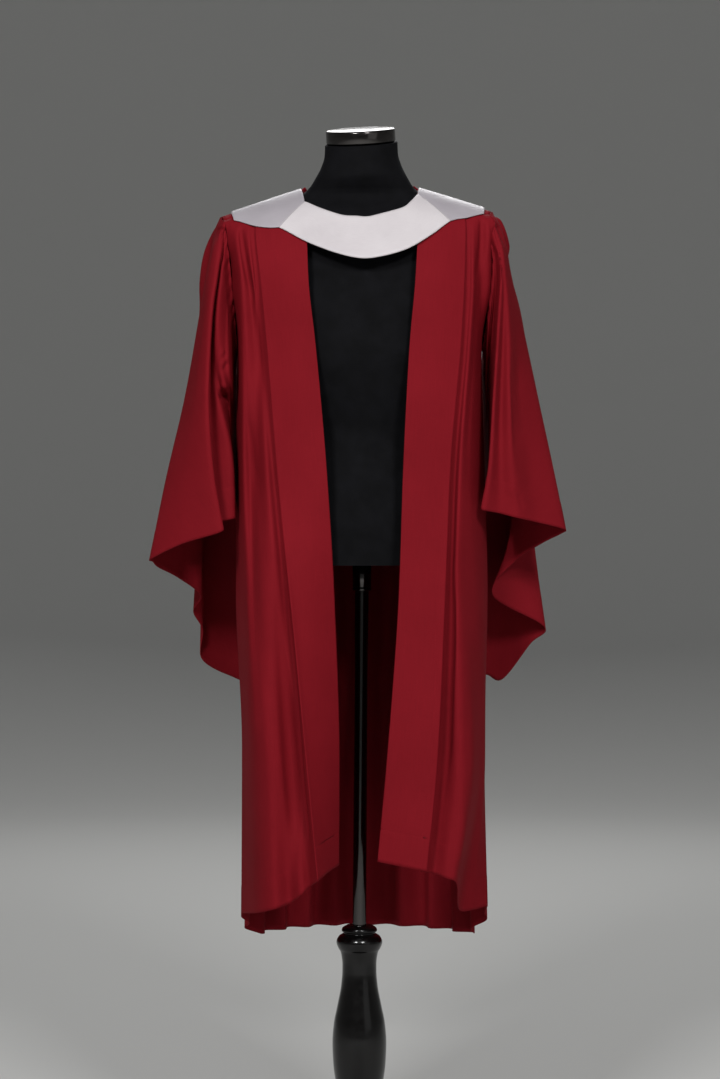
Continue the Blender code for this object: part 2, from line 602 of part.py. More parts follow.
def shoulder_piece_line(row):
    """Plan of one section of a shoulder piece: straight along the mitre, then curved over the ridge."""
    front, bend, ridge, back = (Vector((*cell, 0.0)) * MM for cell in row[1:])
    straight = [front.lerp(bend, share / 4) for share in range(4)]
    return straight + resample([bend, ridge, back], 5)


def add_collar(home):
    """Make the satin front, its two shoulder pieces and the plain back piece."""
    front = neck_grid(COLLAR_FRONT, 21, 5, COLLAR_LIFT)
    trim_sides(front, SEAM_GAP / 2, SEAM_GAP / 2)
    add_sheet("collar_front", front, COLLAR_WALL, SATIN, home)
    for side_name, table in (("left", COLLAR_SHOULDER_LEFT), ("right", COLLAR_SHOULDER_RIGHT)):
        lines = [shoulder_piece_line(row) for row in table]
        plan = [resample([line[row] for line in lines], 8) for row in range(len(lines[0]))]
        grid = [[shoulder(point.x, point.y, COLLAR_LIFT) for point in row] for row in plan]
        trim_sides(grid, SEAM_GAP, 0.0)
        add_sheet(f"collar_shoulder_{side_name}", grid, COLLAR_WALL, SATIN, home)
    back = neck_grid(COLLAR_BACK, 25, 5, COLLAR_LIFT, COLLAR_STAND)
    add_sheet("collar_back", back, COLLAR_WALL, CRIMSON, home)


def ramp(value, low, high):
    """Share of the way from low to high, kept between 0 and 1."""
    return min(1.0, max(0.0, (value - low) / (high - low)))


def form_ring(level, count):
    """One section of the form; its shoulders lean with the gown's, and its neck tips with the cap."""
    height = level.height * MM
    lean = ramp(height, SHOULDER_START, SHOULDER_START + 0.05) * RIDGE_LEAN
    tip = ramp(height, NECK_START, FORM_LEVELS[-1].height * MM)
    lean += tip * (math.tan(NECK_ROLL) - RIDGE_LEAN)
    power = 2.0 / FORM_SQUARENESS if height < NECK_START else 1.0
    ring = []
    for step in range(count):
        angle = 2 * math.pi * step / count
        across = math.copysign(abs(math.cos(angle)) ** power, math.cos(angle))
        along = math.copysign(abs(math.sin(angle)) ** power, math.sin(angle))
        x = level.half_width * MM * across
        y = (level.back if along > 0 else -level.front) * MM * along
        rise = tip * y * math.tan(NECK_PITCH) + lean * x
        ring.append(Vector((x + FORM_CENTRE, y, height + rise)))
    return ring


def add_form(home):
    """Make the limbless torso with its neck, one smooth closed solid."""
    around = 32
    rings = [form_ring(level, around) for level in FORM_LEVELS]
    points = [point for ring in rings for point in ring]
    faces = [tuple(reversed(range(around)))]
    for row in range(len(rings) - 1):
        for column in range(around):
            beside = (column + 1) % around
            faces.append((row * around + column, row * around + beside,
                          (row + 1) * around + beside, (row + 1) * around + column))
    top = (len(rings) - 1) * around
    faces.append(tuple(range(top, top + around)))
    mesh = bpy.data.meshes.new("form_torso")
    mesh.from_pydata(points, [], faces)
    mesh.shade_smooth()
    mesh.set_sharp_from_angle(angle=math.radians(60.0))
    add_object("form_torso", mesh, JERSEY, home)


def add_turned(name, profile, finish, home, steps=24):
    """Make a turned solid from a profile that runs from the axis, down its outer side, to the axis."""
    mesh = bpy.data.meshes.new(name)
    points = [(row.radius * MM, 0.0, row.height * MM) for row in profile]
    mesh.from_pydata(points, [(index, index + 1) for index in range(len(points) - 1)], [])
    item = add_object(name, mesh, finish, home)
    screw = item.modifiers.new("turn", "SCREW")
    screw.steps = steps
    screw.render_steps = steps
    screw.use_merge_vertices = True
    screw.merge_threshold = 0.00005
    screw.use_smooth_shade = True
    return item


def disc_profile(radius, top, bottom, rounding):
    """Profile of a short cylinder with rounded rims, in millimetres."""
    rim = rounding * (1 - math.sqrt(0.5))
    return (Turn(0, top), Turn(radius - rounding, top), Turn(radius - rim, top - rim),
            Turn(radius, top - rounding), Turn(radius, bottom + rounding), Turn(radius - rim, bottom + rim),
            Turn(radius - rounding, bottom), Turn(0, bottom))


def add_cap(home):
    """Make the chrome cap on the neck, tipped forward as the neck is."""
    half = CAP_HEIGHT / MM / 2
    profile = disc_profile(CAP_RADIUS / MM, half, -half, CAP_ROUNDING / MM)
    cap = add_turned("neck_cap", profile, CHROME, home, steps=36)
    cap.location = CAP_CENTRE
    cap.rotation_euler = (NECK_PITCH, -NECK_ROLL, 0.0)


def add_stand(home):
    """Make the pole in its socket, the turned post and the round base."""
    curve = bpy.data.curves.new("pole", "CURVE")
    curve.dimensions = "3D"
    curve.bevel_depth = POLE_RADIUS
    curve.bevel_resolution = 4
    curve.use_fill_caps = True
    run = curve.splines.new("POLY")
    run.points.add(1)
    run.points[0].co = (0.0, 0.0, POLE_FOOT, 1.0)
    run.points[1].co = (POLE_LEAN, 0.0, POLE_TOP, 1.0)
    add_object("pole", curve, CHROME, home)
    profile = disc_profile(SOCKET_RADIUS / MM, SOCKET_TOP / MM, POLE_TOP / MM + 0.3, 1.0)
    socket = add_turned("pole_socket", profile, CHROME, home, steps=20)
    socket.location.x = POLE_LEAN
    add_turned("stand_post", POST_PROFILE, BLACK_GLOSS, home)
    add_turned("stand_base", BASE_PROFILE, BLACK_GLOSS, home, steps=32)


def main():
    """Build the gown, its dress form and the stand."""
    clear_scene()
    collection = bpy.data.collections.new("graduation_gown")
    bpy.context.scene.collection.children.link(collection)
    empty = bpy.data.objects.new("gown_origin", None)
    collection.objects.link(empty)
    home = {"collection": collection, "empty": empty}
    yoke_edge = add_yoke(home)
    add_back(yoke_edge, home)
    add_front("left", -1, BAND_LEFT, FRONT_LEFT, home)
    add_front("right", 1, BAND_RIGHT, FRONT_RIGHT, home)
    add_sleeve("left", -1, SLEEVE_LEFT, FRONT_LEFT, home)
    add_sleeve("right", 1, SLEEVE_RIGHT, FRONT_RIGHT, home)
    add_collar(home)
    add_form(home)
    add_cap(home)
    add_stand(home)


main()
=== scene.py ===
"""Looks of the graduation gown on its dress form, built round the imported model.

Metres, +Z up, the gown's front faces -Y and +X is the viewer's right. Tables are in millimetres, with a
row for each fold line or section and a named column for each level. Each cloth piece is a smooth loft
through its table, pressed with its creases and given a thin wall.
"""

import logging
import math
from dataclasses import dataclass, field
from enum import Enum
from typing import ClassVar, NamedTuple, Optional, Sequence

import bmesh
import bpy
import numpy as np
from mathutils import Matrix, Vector


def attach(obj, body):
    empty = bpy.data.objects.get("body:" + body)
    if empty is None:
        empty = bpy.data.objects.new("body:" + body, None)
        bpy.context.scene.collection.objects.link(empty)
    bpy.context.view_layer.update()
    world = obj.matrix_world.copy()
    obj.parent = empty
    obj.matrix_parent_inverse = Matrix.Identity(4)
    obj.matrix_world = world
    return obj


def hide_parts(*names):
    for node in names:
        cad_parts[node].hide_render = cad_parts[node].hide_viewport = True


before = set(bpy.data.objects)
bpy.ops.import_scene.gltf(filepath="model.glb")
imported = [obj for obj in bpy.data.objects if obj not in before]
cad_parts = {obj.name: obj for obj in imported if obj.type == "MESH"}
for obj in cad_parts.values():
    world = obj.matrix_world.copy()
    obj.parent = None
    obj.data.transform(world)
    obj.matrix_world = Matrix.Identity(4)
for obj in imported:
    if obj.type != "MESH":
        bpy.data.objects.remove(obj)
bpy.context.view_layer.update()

LOG = logging.getLogger("gown")

MM = 0.001
BODY = "root"

# Walls and gaps between layers
CLOTH_WALL = 0.0011
COLLAR_WALL = 0.0013
COLLAR_LIFT = 0.0031
COLLAR_STAND = 0.018
TUCK_WIDTH = 0.010
TUCK_DEPTH = 0.0025
PLEAT_STEP = 0.0016
ARMHOLE_CLEARANCE = 0.0007
HEM_DEPTH = 0.050

# The hem: how far its cloth steps out, is pinched by its stitches and puckers beside them
HEM_STEP = 0.00035
HEM_PINCH = 0.0002
HEM_PUCKER = 0.00016
HEM_RIPPLE = 0.0052
HEM_WANDER = 0.031
ROW_BESIDE_STITCH = 0.0015

# Curves: fine steps for each point that is read, and steps across a crease's width along its path
FINE_STEPS = 6
CREASE_STEPS = 3
SHORTEST_CREASE = 48
TOWARDS_VIEWER = (0.0, -1.0, 0.0)

# The shoulders: height of the ridge beside the neck, its fall outward, its lean, and the arch over it
RIDGE_HEIGHT = 1.5975
RIDGE_START = 0.0985
RIDGE_FALL = 0.33
RIDGE_LEAN = 0.012
NECK_ROUNDING = 0.04
ARCH_RADIUS = 0.058
ARCH_CENTRE = 0.005

# Levels of the gown's body, in millimetres above the floor
CHEST, ARMPIT, WAIST, HIP, KNEE = 1440, 1340, 1150, 950, 700

Points = np.ndarray


class Side(Enum):
    """The viewer's left and right of the gown, with the sign of X there."""

    LEFT = -1
    RIGHT = 1

    @property
    def label(self) -> str:
        """The side's word in the names of pieces."""
        return self.name.lower()


class Hang(Enum):
    """How a curve runs through its points: freely, or like cloth that never swings past them."""

    FREE = "free"
    HUNG = "hung"


class Hold(Enum):
    """How a sheet of cloth is held."""

    DRAPED = "draped"
    HUNG = "hung"
    GATHERED = "gathered"


def slopes(points: Points, hang: Hang) -> Points:
    """Work out the slope of a smooth curve at each of its points.

    Args:
        points: the curve's points, one a row.
        hang: whether the curve runs freely or never swings past its points.

    Returns:
        One slope a point.
    """
    steps = np.diff(points, axis=0)
    before = np.concatenate([steps[:1], steps])
    after = np.concatenate([steps, steps[-1:]])
    if hang is Hang.FREE:
        return (before + after) / 2
    product = before * after
    total = np.where(product > 0, before + after, 1.0)
    return np.where(product > 0, 2 * product / total, 0.0)


def curve_at(points: Points, places: Points, hang: Hang) -> Points:
    """Read a smooth curve at some places, which run from 0 to the index of its last point.

    Args:
        points: the curve's points, one a row.
        places: where to read it.
        hang: how the curve runs.

    Returns:
        One point a place.
    """
    index = np.minimum(places.astype(int), len(points) - 2)
    share = (places - index)[:, None]
    slope = slopes(points, hang)
    square, cube = share ** 2, share ** 3
    return (points[index] * (2 * cube - 3 * square + 1) + slope[index] * (cube - 2 * square + share)
            + points[index + 1] * (3 * square - 2 * cube) + slope[index + 1] * (cube - square))


def lengths_along(points: Points) -> Points:
    """Length from the first point to each of the points."""
    return np.concatenate([[0.0], np.cumsum(np.linalg.norm(np.diff(points, axis=0), axis=1))])


def spread(fine: Points, shares: Points) -> Points:
    """Read a finely stepped curve at shares of its length.

    Args:
        fine: the curve's points, one a row.
        shares: places from 0 to 1 along its length.

    Returns:
        One point a share.
    """
    lengths = lengths_along(fine)
    goals = shares * lengths[-1]
    return np.stack([np.interp(goals, lengths, fine[:, axis]) for axis in range(3)], axis=1)


def resample(points: Points, shares: Points, hang: Hang = Hang.FREE) -> Points:
    """Run a smooth curve through points and read it at shares of its length.

    Args:
        points: the curve's points, one a row.
        shares: places from 0 to 1 along its length.
        hang: how the curve runs.

    Returns:
        One point a share.
    """
    places = np.linspace(0, len(points) - 1, FINE_STEPS * len(shares))
    return spread(curve_at(points, places, hang), shares)


def resample_ring(points: Points, count: int) -> Points:
    """Run a smooth closed curve through points.

    Args:
        points: the ring's points, one a row.
        count: how many points to read.

    Returns:
        The points, evenly spaced round the ring from its first one.
    """
    lapped = np.concatenate([points[-2:], points, points[:3]])
    fine = curve_at(lapped, 2 + np.linspace(0, len(points), FINE_STEPS * count), Hang.FREE)
    return spread(fine, np.linspace(0, 1, count + 1))[:-1]


def smooth_step(values: Points, low: float, high: float) -> Points:
    """Rise smoothly from 0 to 1.

    Args:
        values: the values to turn.
        low: the value where the rise starts.
        high: the value where it ends.

    Returns:
        One share a value.
    """
    share = np.clip((values - low) / (high - low), 0.0, 1.0)
    return share * share * (3 - 2 * share)


def shoulder(plan: Points, lift: float = 0.0) -> Points:
    """Raise places in plan onto the cloth over the shoulders and the upper chest.

    Args:
        plan: places whose X and Y count, one a row, in metres.
        lift: height over the cloth, along its normal.

    Returns:
        The points on the shoulders.
    """
    x, y = plan[..., 0], plan[..., 1]
    reach = np.hypot(x, NECK_ROUNDING)
    ridge = RIDGE_HEIGHT - RIDGE_FALL * (reach - RIDGE_START) + RIDGE_LEAN * x
    fall = (y - ARCH_CENTRE) ** 2 / (2 * ARCH_RADIUS)
    out = np.stack([RIDGE_FALL * x / reach - RIDGE_LEAN, (y - ARCH_CENTRE) / ARCH_RADIUS,
                    np.ones_like(x)], axis=-1)
    out /= np.linalg.norm(out, axis=-1, keepdims=True)
    return np.stack([x, y, ridge - fall], axis=-1) + out * lift


def raised(x: float, y: float, lift: float = 0.0) -> Points:
    """One point on the cloth over the shoulders, from its plan in metres."""
    return shoulder(np.array([x, y]), lift)


def rows_down(count: int, length: float) -> Points:
    """Shares of a sheet's length for its rows, with close rows beside the stitching of its hem.

    Args:
        count: how many even rows there are.
        length: the sheet's length in metres.

    Returns:
        The shares, from 0 to 1.
    """
    stitch = 1 - HEM_DEPTH / length
    beside = stitch + np.array([-1.0, 0.0, 1.0]) * ROW_BESIDE_STITCH / length
    return np.sort(np.concatenate([np.linspace(0, 1, count), beside]))


@dataclass(frozen=True)
class Crease:
    """A soft trough or ridge pressed into a sheet, along a path seen from one side of the gown.

    The path is in millimetres across and up. The depth is below 0 for a trough and over 0 for a ridge,
    and the crease fades over the given shares of its length at its start and end.
    """

    path: tuple[tuple[float, float], ...]
    width: float
    depth: float
    fades: tuple[float, float] = (0.25, 0.45)

    def press(self, points: Points, normals: Points) -> Points:
        """Work out how far the crease moves each point along its normal.

        Args:
            points: the sheet's points.
            normals: their outward normals.

        Returns:
            One distance a point, in metres.
        """
        knots = np.array([(x, 0.0, z) for x, z in self.path]) * MM
        length = float(np.linalg.norm(np.diff(knots, axis=0), axis=1).sum())
        steps = max(SHORTEST_CREASE, int(CREASE_STEPS * length / (self.width * MM)))
        line = resample(knots, np.linspace(0, 1, steps))
        flat = points[..., [0, 2]]
        gaps = np.linalg.norm(flat[..., None, :] - line[:, [0, 2]], axis=-1)
        gap = gaps.min(axis=-1)
        along = gaps.argmin(axis=-1) / (len(line) - 1)
        fade = smooth_step(along, 0.0, self.fades[0]) * (1 - smooth_step(along, 1 - self.fades[1], 1.0))
        faced = np.clip(normals @ np.array(TOWARDS_VIEWER) * 2.0, 0.0, 1.0)
        return self.depth * MM * np.exp(-(gap / (self.width * MM)) ** 2) * fade * faced


@dataclass(frozen=True)
class Ripple:
    """Fine waves across a sheet, such as gathers under a seam, that fade away down it."""

    count: float
    height: float
    start: float
    end: float
    wander: float = 0.9
    phase: float = 0.0

    def press(self, shares: Points, down: Points) -> Points:
        """Work out how far the waves move each point along its normal.

        Args:
            shares: each point's share of the way across or round the sheet.
            down: each point's distance from the sheet's top, in metres.

        Returns:
            One distance a point, in metres.
        """
        turn = 2 * math.pi * shares
        wander = self.wander * np.sin(3.1 * turn + self.phase) + 0.6 * np.sin(7.3 * turn + 2 * self.phase)
        wave = np.sin(self.count * turn + self.phase + wander)
        uneven = 0.7 + 0.3 * np.sin(5.7 * turn + 1.9 * self.phase)
        reach = 1 - smooth_step(down, self.start, self.end * uneven)
        return self.height * MM * wave * uneven * reach


@dataclass
class Sheet:
    """One cloth piece: a grid of points, pressed with creases and given a thin wall.

    The grid has rows down the piece and columns across it, and a closed one is a tube. A turned sheet's
    rows and columns run so that its outer side is the other one.
    """

    name: str
    grid: Points
    turned: bool = False
    closed: bool = False
    wall: float = CLOTH_WALL

    def normals(self) -> Points:
        """Outward normals of the grid's points."""
        down = np.gradient(self.grid, axis=0)
        if self.closed:
            across = np.roll(self.grid, -1, axis=1) - np.roll(self.grid, 1, axis=1)
        else:
            across = np.gradient(self.grid, axis=1)
        out = np.cross(down, across)
        out /= np.maximum(np.linalg.norm(out, axis=-1, keepdims=True), 1e-12)
        return -out if self.turned else out

    def shares(self) -> Points:
        """Each point's share of the way across the sheet."""
        across = np.linspace(0, 1, self.grid.shape[1], endpoint=not self.closed)
        return np.broadcast_to(across, self.grid.shape[:2])

    def down(self) -> Points:
        """Each point's distance from the top, along the cloth."""
        steps = np.linalg.norm(np.diff(self.grid, axis=0), axis=-1)
        return np.concatenate([np.zeros((1, self.grid.shape[1])), np.cumsum(steps, axis=0)])

    def across(self) -> Points:
        """Each point's distance from the middle of its row, along the cloth."""
        steps = np.linalg.norm(np.diff(self.grid, axis=1), axis=-1)
        far = np.concatenate([np.zeros((self.grid.shape[0], 1)), np.cumsum(steps, axis=1)], axis=1)
        return far - far[:, -1:] / 2

    def press(self, creases: Sequence[Crease] = (), ripples: Sequence[Ripple] = ()) -> None:
        """Move the points along their normals.

        Args:
            creases: the folds to press in.
            ripples: the fine waves to press in.
        """
        normals = self.normals()
        moved = np.zeros(self.grid.shape[:2])
        for crease in creases:
            moved += crease.press(self.grid, normals)
        for ripple in ripples:
            moved += ripple.press(self.shares(), self.down())
        self.grid = self.grid + normals * moved[..., None]

    def hem(self) -> None:
        """Thicken the turned-up hem, and pinch and pucker the cloth along its stitching."""
        down, across = self.down(), self.across()
        over = down[-1:] - down - HEM_DEPTH
        step = 1 - smooth_step(over, -0.0008, 0.0012)
        pinch = np.exp(-(over / 0.0022) ** 2)
        wave = np.sin(across / HEM_RIPPLE + 1.7 * np.sin(across / HEM_WANDER))
        pucker = wave * np.exp(-(over / 0.007) ** 2)
        moved = HEM_STEP * step - HEM_PINCH * pinch + HEM_PUCKER * pucker
        self.grid = self.grid + self.normals() * moved[..., None]

    def area(self) -> float:
        """The cloth's area in square metres."""
        grid = np.concatenate([self.grid, self.grid[:, :1]], axis=1) if self.closed else self.grid
        first = np.cross(grid[1:, :-1] - grid[:-1, :-1], grid[:-1, 1:] - grid[:-1, :-1])
        second = np.cross(grid[1:, :-1] - grid[1:, 1:], grid[:-1, 1:] - grid[1:, 1:])
        return float(np.linalg.norm(first, axis=-1).sum() + np.linalg.norm(second, axis=-1).sum()) / 2

    def cut(self) -> tuple[float, float]:
        """Width and length of the flat cloth that the piece is cut from, in metres."""
        across = np.ptp(self.across(), axis=1)
        return round(float(across.max()), 3), round(float(self.down()[-1].max()), 3)

    def build(self) -> bpy.types.Object:
        """Make the walled mesh, with the cloth's own lengths as its UV map and the hem's as a second.

        Returns:
            The finished object, at the origin.
        """
        rows, columns = self.grid.shape[:2]
        spans = columns if self.closed else columns - 1
        index = np.arange(rows * columns).reshape(rows, columns)
        beside = np.roll(index, -1, axis=1)[:, :spans]
        here = index[:, :spans]
        order = [here[:-1], here[1:], beside[1:], beside[:-1]]
        if self.turned:
            order.reverse()
        faces = np.stack(order, axis=-1).reshape(-1, 4)
        mesh = bpy.data.meshes.new(self.name)
        mesh.from_pydata(self.grid.reshape(-1, 3).tolist(), [], faces.tolist())
        mesh.shade_smooth()
        down, across = self.down(), self.across()
        self.add_map(mesh, "cloth", across, down, faces)
        self.add_map(mesh, "edge", across, down[-1:] - down, faces)
        item = bpy.data.objects.new(self.name, mesh)
        bpy.context.scene.collection.objects.link(item)
        wall = item.modifiers.new("wall", "SOLIDIFY")
        wall.thickness = self.wall
        wall.offset = 0.0
        choose(item)
        bpy.ops.object.modifier_apply(modifier=wall.name)
        return item

    def add_map(self, mesh: bpy.types.Mesh, name: str, u: Points, v: Points, faces: Points) -> None:
        """Add a UV map, in metres.

        Args:
            mesh: the sheet's mesh.
            name: the map's name.
            u: the first coordinate of each grid point.
            v: the second one.
            faces: the mesh's faces, as four grid points each.
        """
        columns = self.grid.shape[1]
        flat_u = u.reshape(-1)[faces.reshape(-1)].reshape(-1, 4)
        if self.closed:
            lap = np.linalg.norm(self.grid[:, 0] - self.grid[:, -1], axis=-1)
            closing = (faces % columns == 0).any(axis=1) & (faces % columns == columns - 1).any(axis=1)
            first = faces[closing] % columns == 0
            rows = faces[closing] // columns
            flat_u[closing] = np.where(first, u[rows, columns - 1] + lap[rows], flat_u[closing])
        flat_v = v.reshape(-1)[faces.reshape(-1)]
        layer = mesh.uv_layers.new(name=name)
        layer.data.foreach_set("uv", np.stack([flat_u.reshape(-1), flat_v], axis=-1).reshape(-1))


def choose(item: bpy.types.Object) -> None:
    """Select one object alone and make it active."""
    bpy.ops.object.select_all(action="DESELECT")
    item.select_set(True)
    bpy.context.view_layer.objects.active = item


class Shader:
    """A material's nodes, added and linked by short calls."""

    def __init__(self, name: str) -> None:
        """Start a material with a Principled shader.

        Args:
            name: the material's name.
        """
        self.material = bpy.data.materials.new(name)
        self.material.use_nodes = True
        self.nodes = self.material.node_tree.nodes
        self.links = self.material.node_tree.links
        self.surface = self.nodes["Principled BSDF"]

    def node(self, kind: str, **values: object) -> bpy.types.Node:
        """Add a node.

        Args:
            kind: the node's type.
            values: its properties, by name.

        Returns:
            The node.
        """
        made = self.nodes.new(kind)
        for name, value in values.items():
            setattr(made, name, value)
        return made

    def link(self, source: bpy.types.NodeSocket, target: bpy.types.NodeSocket) -> None:
        """Join two sockets."""
        self.links.new(source, target)

    def mapped(self, scale: Sequence[float], uv: str = "", turn: float = 0.0) -> bpy.types.NodeSocket:
        """Coordinates of the object, or of one of its UV maps, scaled and turned.

        Args:
            scale: the scale along each axis.
            uv: the UV map's name, or nothing for Object coordinates.
            turn: the turn about Z, in radians.

        Returns:
            The socket that holds the coordinates.
        """
        mapping = self.node("ShaderNodeMapping")
        mapping.inputs["Scale"].default_value = scale
        mapping.inputs["Rotation"].default_value = (0.0, 0.0, turn)
        if uv:
            self.link(self.node("ShaderNodeUVMap", uv_map=uv).outputs["UV"], mapping.inputs["Vector"])
        else:
            self.link(self.node("ShaderNodeTexCoord").outputs["Object"], mapping.inputs["Vector"])
        return mapping.outputs["Vector"]

    def noise(self, where: bpy.types.NodeSocket, scale: float, detail: float = 2.0) -> bpy.types.NodeSocket:
        """Add a noise pattern.

        Args:
            where: the coordinates.
            scale: how fine the pattern is.
            detail: how many finer layers it has.

        Returns:
            The socket that holds its value.
        """
        made = self.node("ShaderNodeTexNoise")
        made.inputs["Scale"].default_value = scale
        made.inputs["Detail"].default_value = detail
        self.link(where, made.inputs["Vector"])
        return made.outputs["Fac"]

    def waves(self, where: bpy.types.NodeSocket, pitch: float, direction: str) -> bpy.types.NodeSocket:
        """Add even waves.

        Args:
            where: the coordinates.
            pitch: the waves' pitch, in metres.
            direction: the axis that they run along.

        Returns:
            The socket that holds their height.
        """
        made = self.node("ShaderNodeTexWave", wave_type="BANDS", bands_direction=direction)
        made.inputs["Scale"].default_value = 2 * math.pi / (20 * pitch)
        self.link(where, made.inputs["Vector"])
        return made.outputs["Fac"]

    def maths(self, operation: str, first: object, second: object = 0.5,
              third: object = 0.0) -> bpy.types.NodeSocket:
        """Work out a sum, a product or another step.

        Args:
            operation: the step's name.
            first: a socket or a number, as are the others.
            second: the second value.
            third: the third value, where the step has one.

        Returns:
            The socket that holds the result.
        """
        made = self.node("ShaderNodeMath", operation=operation)
        for socket, value in zip(made.inputs, (first, second, third)):
            if isinstance(value, bpy.types.NodeSocket):
                self.link(value, socket)
            else:
                socket.default_value = value
        return made.outputs["Value"]

    def ramp(self, value: bpy.types.NodeSocket, stops: Sequence[tuple[float, tuple]]) -> bpy.types.NodeSocket:
        """Turn a value into a colour.

        Args:
            value: the socket that holds the value.
            stops: the places along it, each with its colour as seen.

        Returns:
            The socket that holds the colour.
        """
        made = self.node("ShaderNodeValToRGB")
        elements = made.color_ramp.elements
        while len(elements) < len(stops):
            elements.new(0.5)
        for element, (place, colour) in zip(elements, stops):
            element.position = place
            element.color = linear(colour)
        self.link(value, made.inputs["Fac"])
        return made.outputs["Color"]

    def bump(self, height: bpy.types.NodeSocket, distance: float, strength: float = 1.0,
             below: Optional[bpy.types.NodeSocket] = None) -> bpy.types.NodeSocket:
        """Raise the surface by a height pattern.

        Args:
            height: the socket that holds the pattern.
            distance: how far it raises the surface, in metres.
            strength: how much of it shows.
            below: the normal of an earlier pattern, if there is one.

        Returns:
            The socket that holds the normal.
        """
        made = self.node("ShaderNodeBump")
        made.inputs["Distance"].default_value = distance
        made.inputs["Strength"].default_value = strength
        self.link(height, made.inputs["Height"])
        if below is not None:
            self.link(below, made.inputs["Normal"])
        return made.outputs["Normal"]

    def set(self, **values: object) -> None:
        """Set or link the shader's own sockets.

        Args:
            values: a value or a socket for each, by name; an underscore stands for a space.
        """
        for name, value in values.items():
            socket = self.surface.inputs[name.replace("_", " ")]
            if isinstance(value, bpy.types.NodeSocket):
                self.link(value, socket)
            else:
                socket.default_value = value


def linear(colour: Sequence[float]) -> tuple[float, float, float, float]:
    """Turn a colour as seen into a shader's linear colour.

    Args:
        colour: red, green and blue, from 0 to 255.

    Returns:
        Its linear parts and full opacity.
    """
    parts = [part / 255 for part in colour]
    made = [part / 12.92 if part <= 0.04045 else ((part + 0.055) / 1.055) ** 2.4 for part in parts]
    return (*made, 1.0)


@dataclass(frozen=True)
class Cloth:
    """Plain-woven cloth: dyed yarns, a faint sheen, slubs, and a stitched hem where the piece has one."""

    slot: ClassVar[str] = "crimson_cloth"
    deep: tuple[int, int, int] = (114, 17, 26)
    bright: tuple[int, int, int] = (129, 22, 32)
    pitch: float = 0.00062
    hemmed: bool = False
    stitch_pitch: float = 0.0031
    stitch_width: float = 0.00084
    roughness: float = 0.78
    gleam: tuple[int, int, int] = (215, 60, 70)

    def make(self) -> bpy.types.Material:
        """Make the material."""
        shader = Shader("crimson_hemmed" if self.hemmed else "crimson")
        cloth = shader.mapped((1.0, 1.0, 1.0), "cloth")
        warp = shader.waves(cloth, self.pitch, "X")
        weft = shader.waves(cloth, self.pitch, "Y")
        weave = shader.maths("MAXIMUM", warp, weft)
        slub = shader.noise(shader.mapped((900.0, 24.0, 1.0), "cloth"), 1.0, 3.0)
        cross = shader.noise(shader.mapped((30.0, 1100.0, 1.0), "cloth"), 1.0, 2.0)
        cloud = shader.noise(shader.mapped((1.0, 1.0, 1.0)), 9.0, 3.0)
        yarns = shader.maths("MULTIPLY_ADD", slub, 0.45, shader.maths("MULTIPLY", cross, 0.25))
        tone = shader.maths("MULTIPLY_ADD", cloud, 0.5, yarns)
        shader.set(Base_Color=shader.ramp(tone, ((0.32, self.deep), (0.78, self.bright))))
        height = shader.maths("MULTIPLY_ADD", yarns, 0.6, weave)
        normal = shader.bump(height, 0.00006, 0.55)
        if self.hemmed:
            normal = self.stitch(shader, normal)
        shader.set(Normal=normal, Roughness=self.roughness, Sheen_Weight=0.03, Sheen_Roughness=0.45,
                   Sheen_Tint=linear(self.gleam), Specular_IOR_Level=0.06)
        return shader.material

    def stitch(self, shader: Shader, below: bpy.types.NodeSocket) -> bpy.types.NodeSocket:
        """Sink a row of small stitches along the hem's top edge.

        Args:
            shader: the material's nodes.
            below: the normal that the stitches sink into.

        Returns:
            The normal with the stitches.
        """
        parted = shader.node("ShaderNodeSeparateXYZ")
        shader.link(shader.mapped((1.0, 1.0, 1.0), "edge"), parted.inputs["Vector"])
        gap = shader.maths("ABSOLUTE", shader.maths("SUBTRACT", parted.outputs["Y"], HEM_DEPTH))
        row = shader.maths("LESS_THAN", gap, self.stitch_width / 2)
        turn = shader.maths("FRACT", shader.maths("DIVIDE", parted.outputs["X"], self.stitch_pitch))
        dash = shader.maths("LESS_THAN", turn, 0.72)
        dent = shader.maths("MULTIPLY", shader.maths("MULTIPLY", row, dash), -1.0)
        return shader.bump(dent, 0.00016, 0.7, below)


@dataclass(frozen=True)
class Satin:
    """White satin: fine floats along the piece and a soft gloss."""

    slot: ClassVar[str] = "white_satin"
    name: str = "satin"
    shade: tuple[int, int, int] = (198, 191, 194)
    light: tuple[int, int, int] = (218, 212, 214)
    roughness: float = 0.42

    def make(self) -> bpy.types.Material:
        """Make the material."""
        shader = Shader(self.name)
        floats = shader.noise(shader.mapped((80.0, 1500.0, 1.0), "cloth"), 1.0, 3.0)
        cloud = shader.noise(shader.mapped((1.0, 1.0, 1.0)), 14.0, 3.0)
        tone = shader.maths("MULTIPLY_ADD", floats, 0.35, shader.maths("MULTIPLY", cloud, 0.6))
        pull = shader.noise(shader.mapped((26.0, 110.0, 1.0), "cloth", 0.5), 1.0, 3.0)
        soft = shader.bump(pull, 0.0011, 0.35)
        fine = shader.bump(floats, 0.00005, 0.5, soft)
        shader.set(Base_Color=shader.ramp(tone, ((0.25, self.shade), (0.7, self.light))), Normal=fine,
                   Roughness=self.roughness, Specular_IOR_Level=0.45, Sheen_Weight=0.12,
                   Sheen_Roughness=0.3, Anisotropic=0.35)
        return shader.material


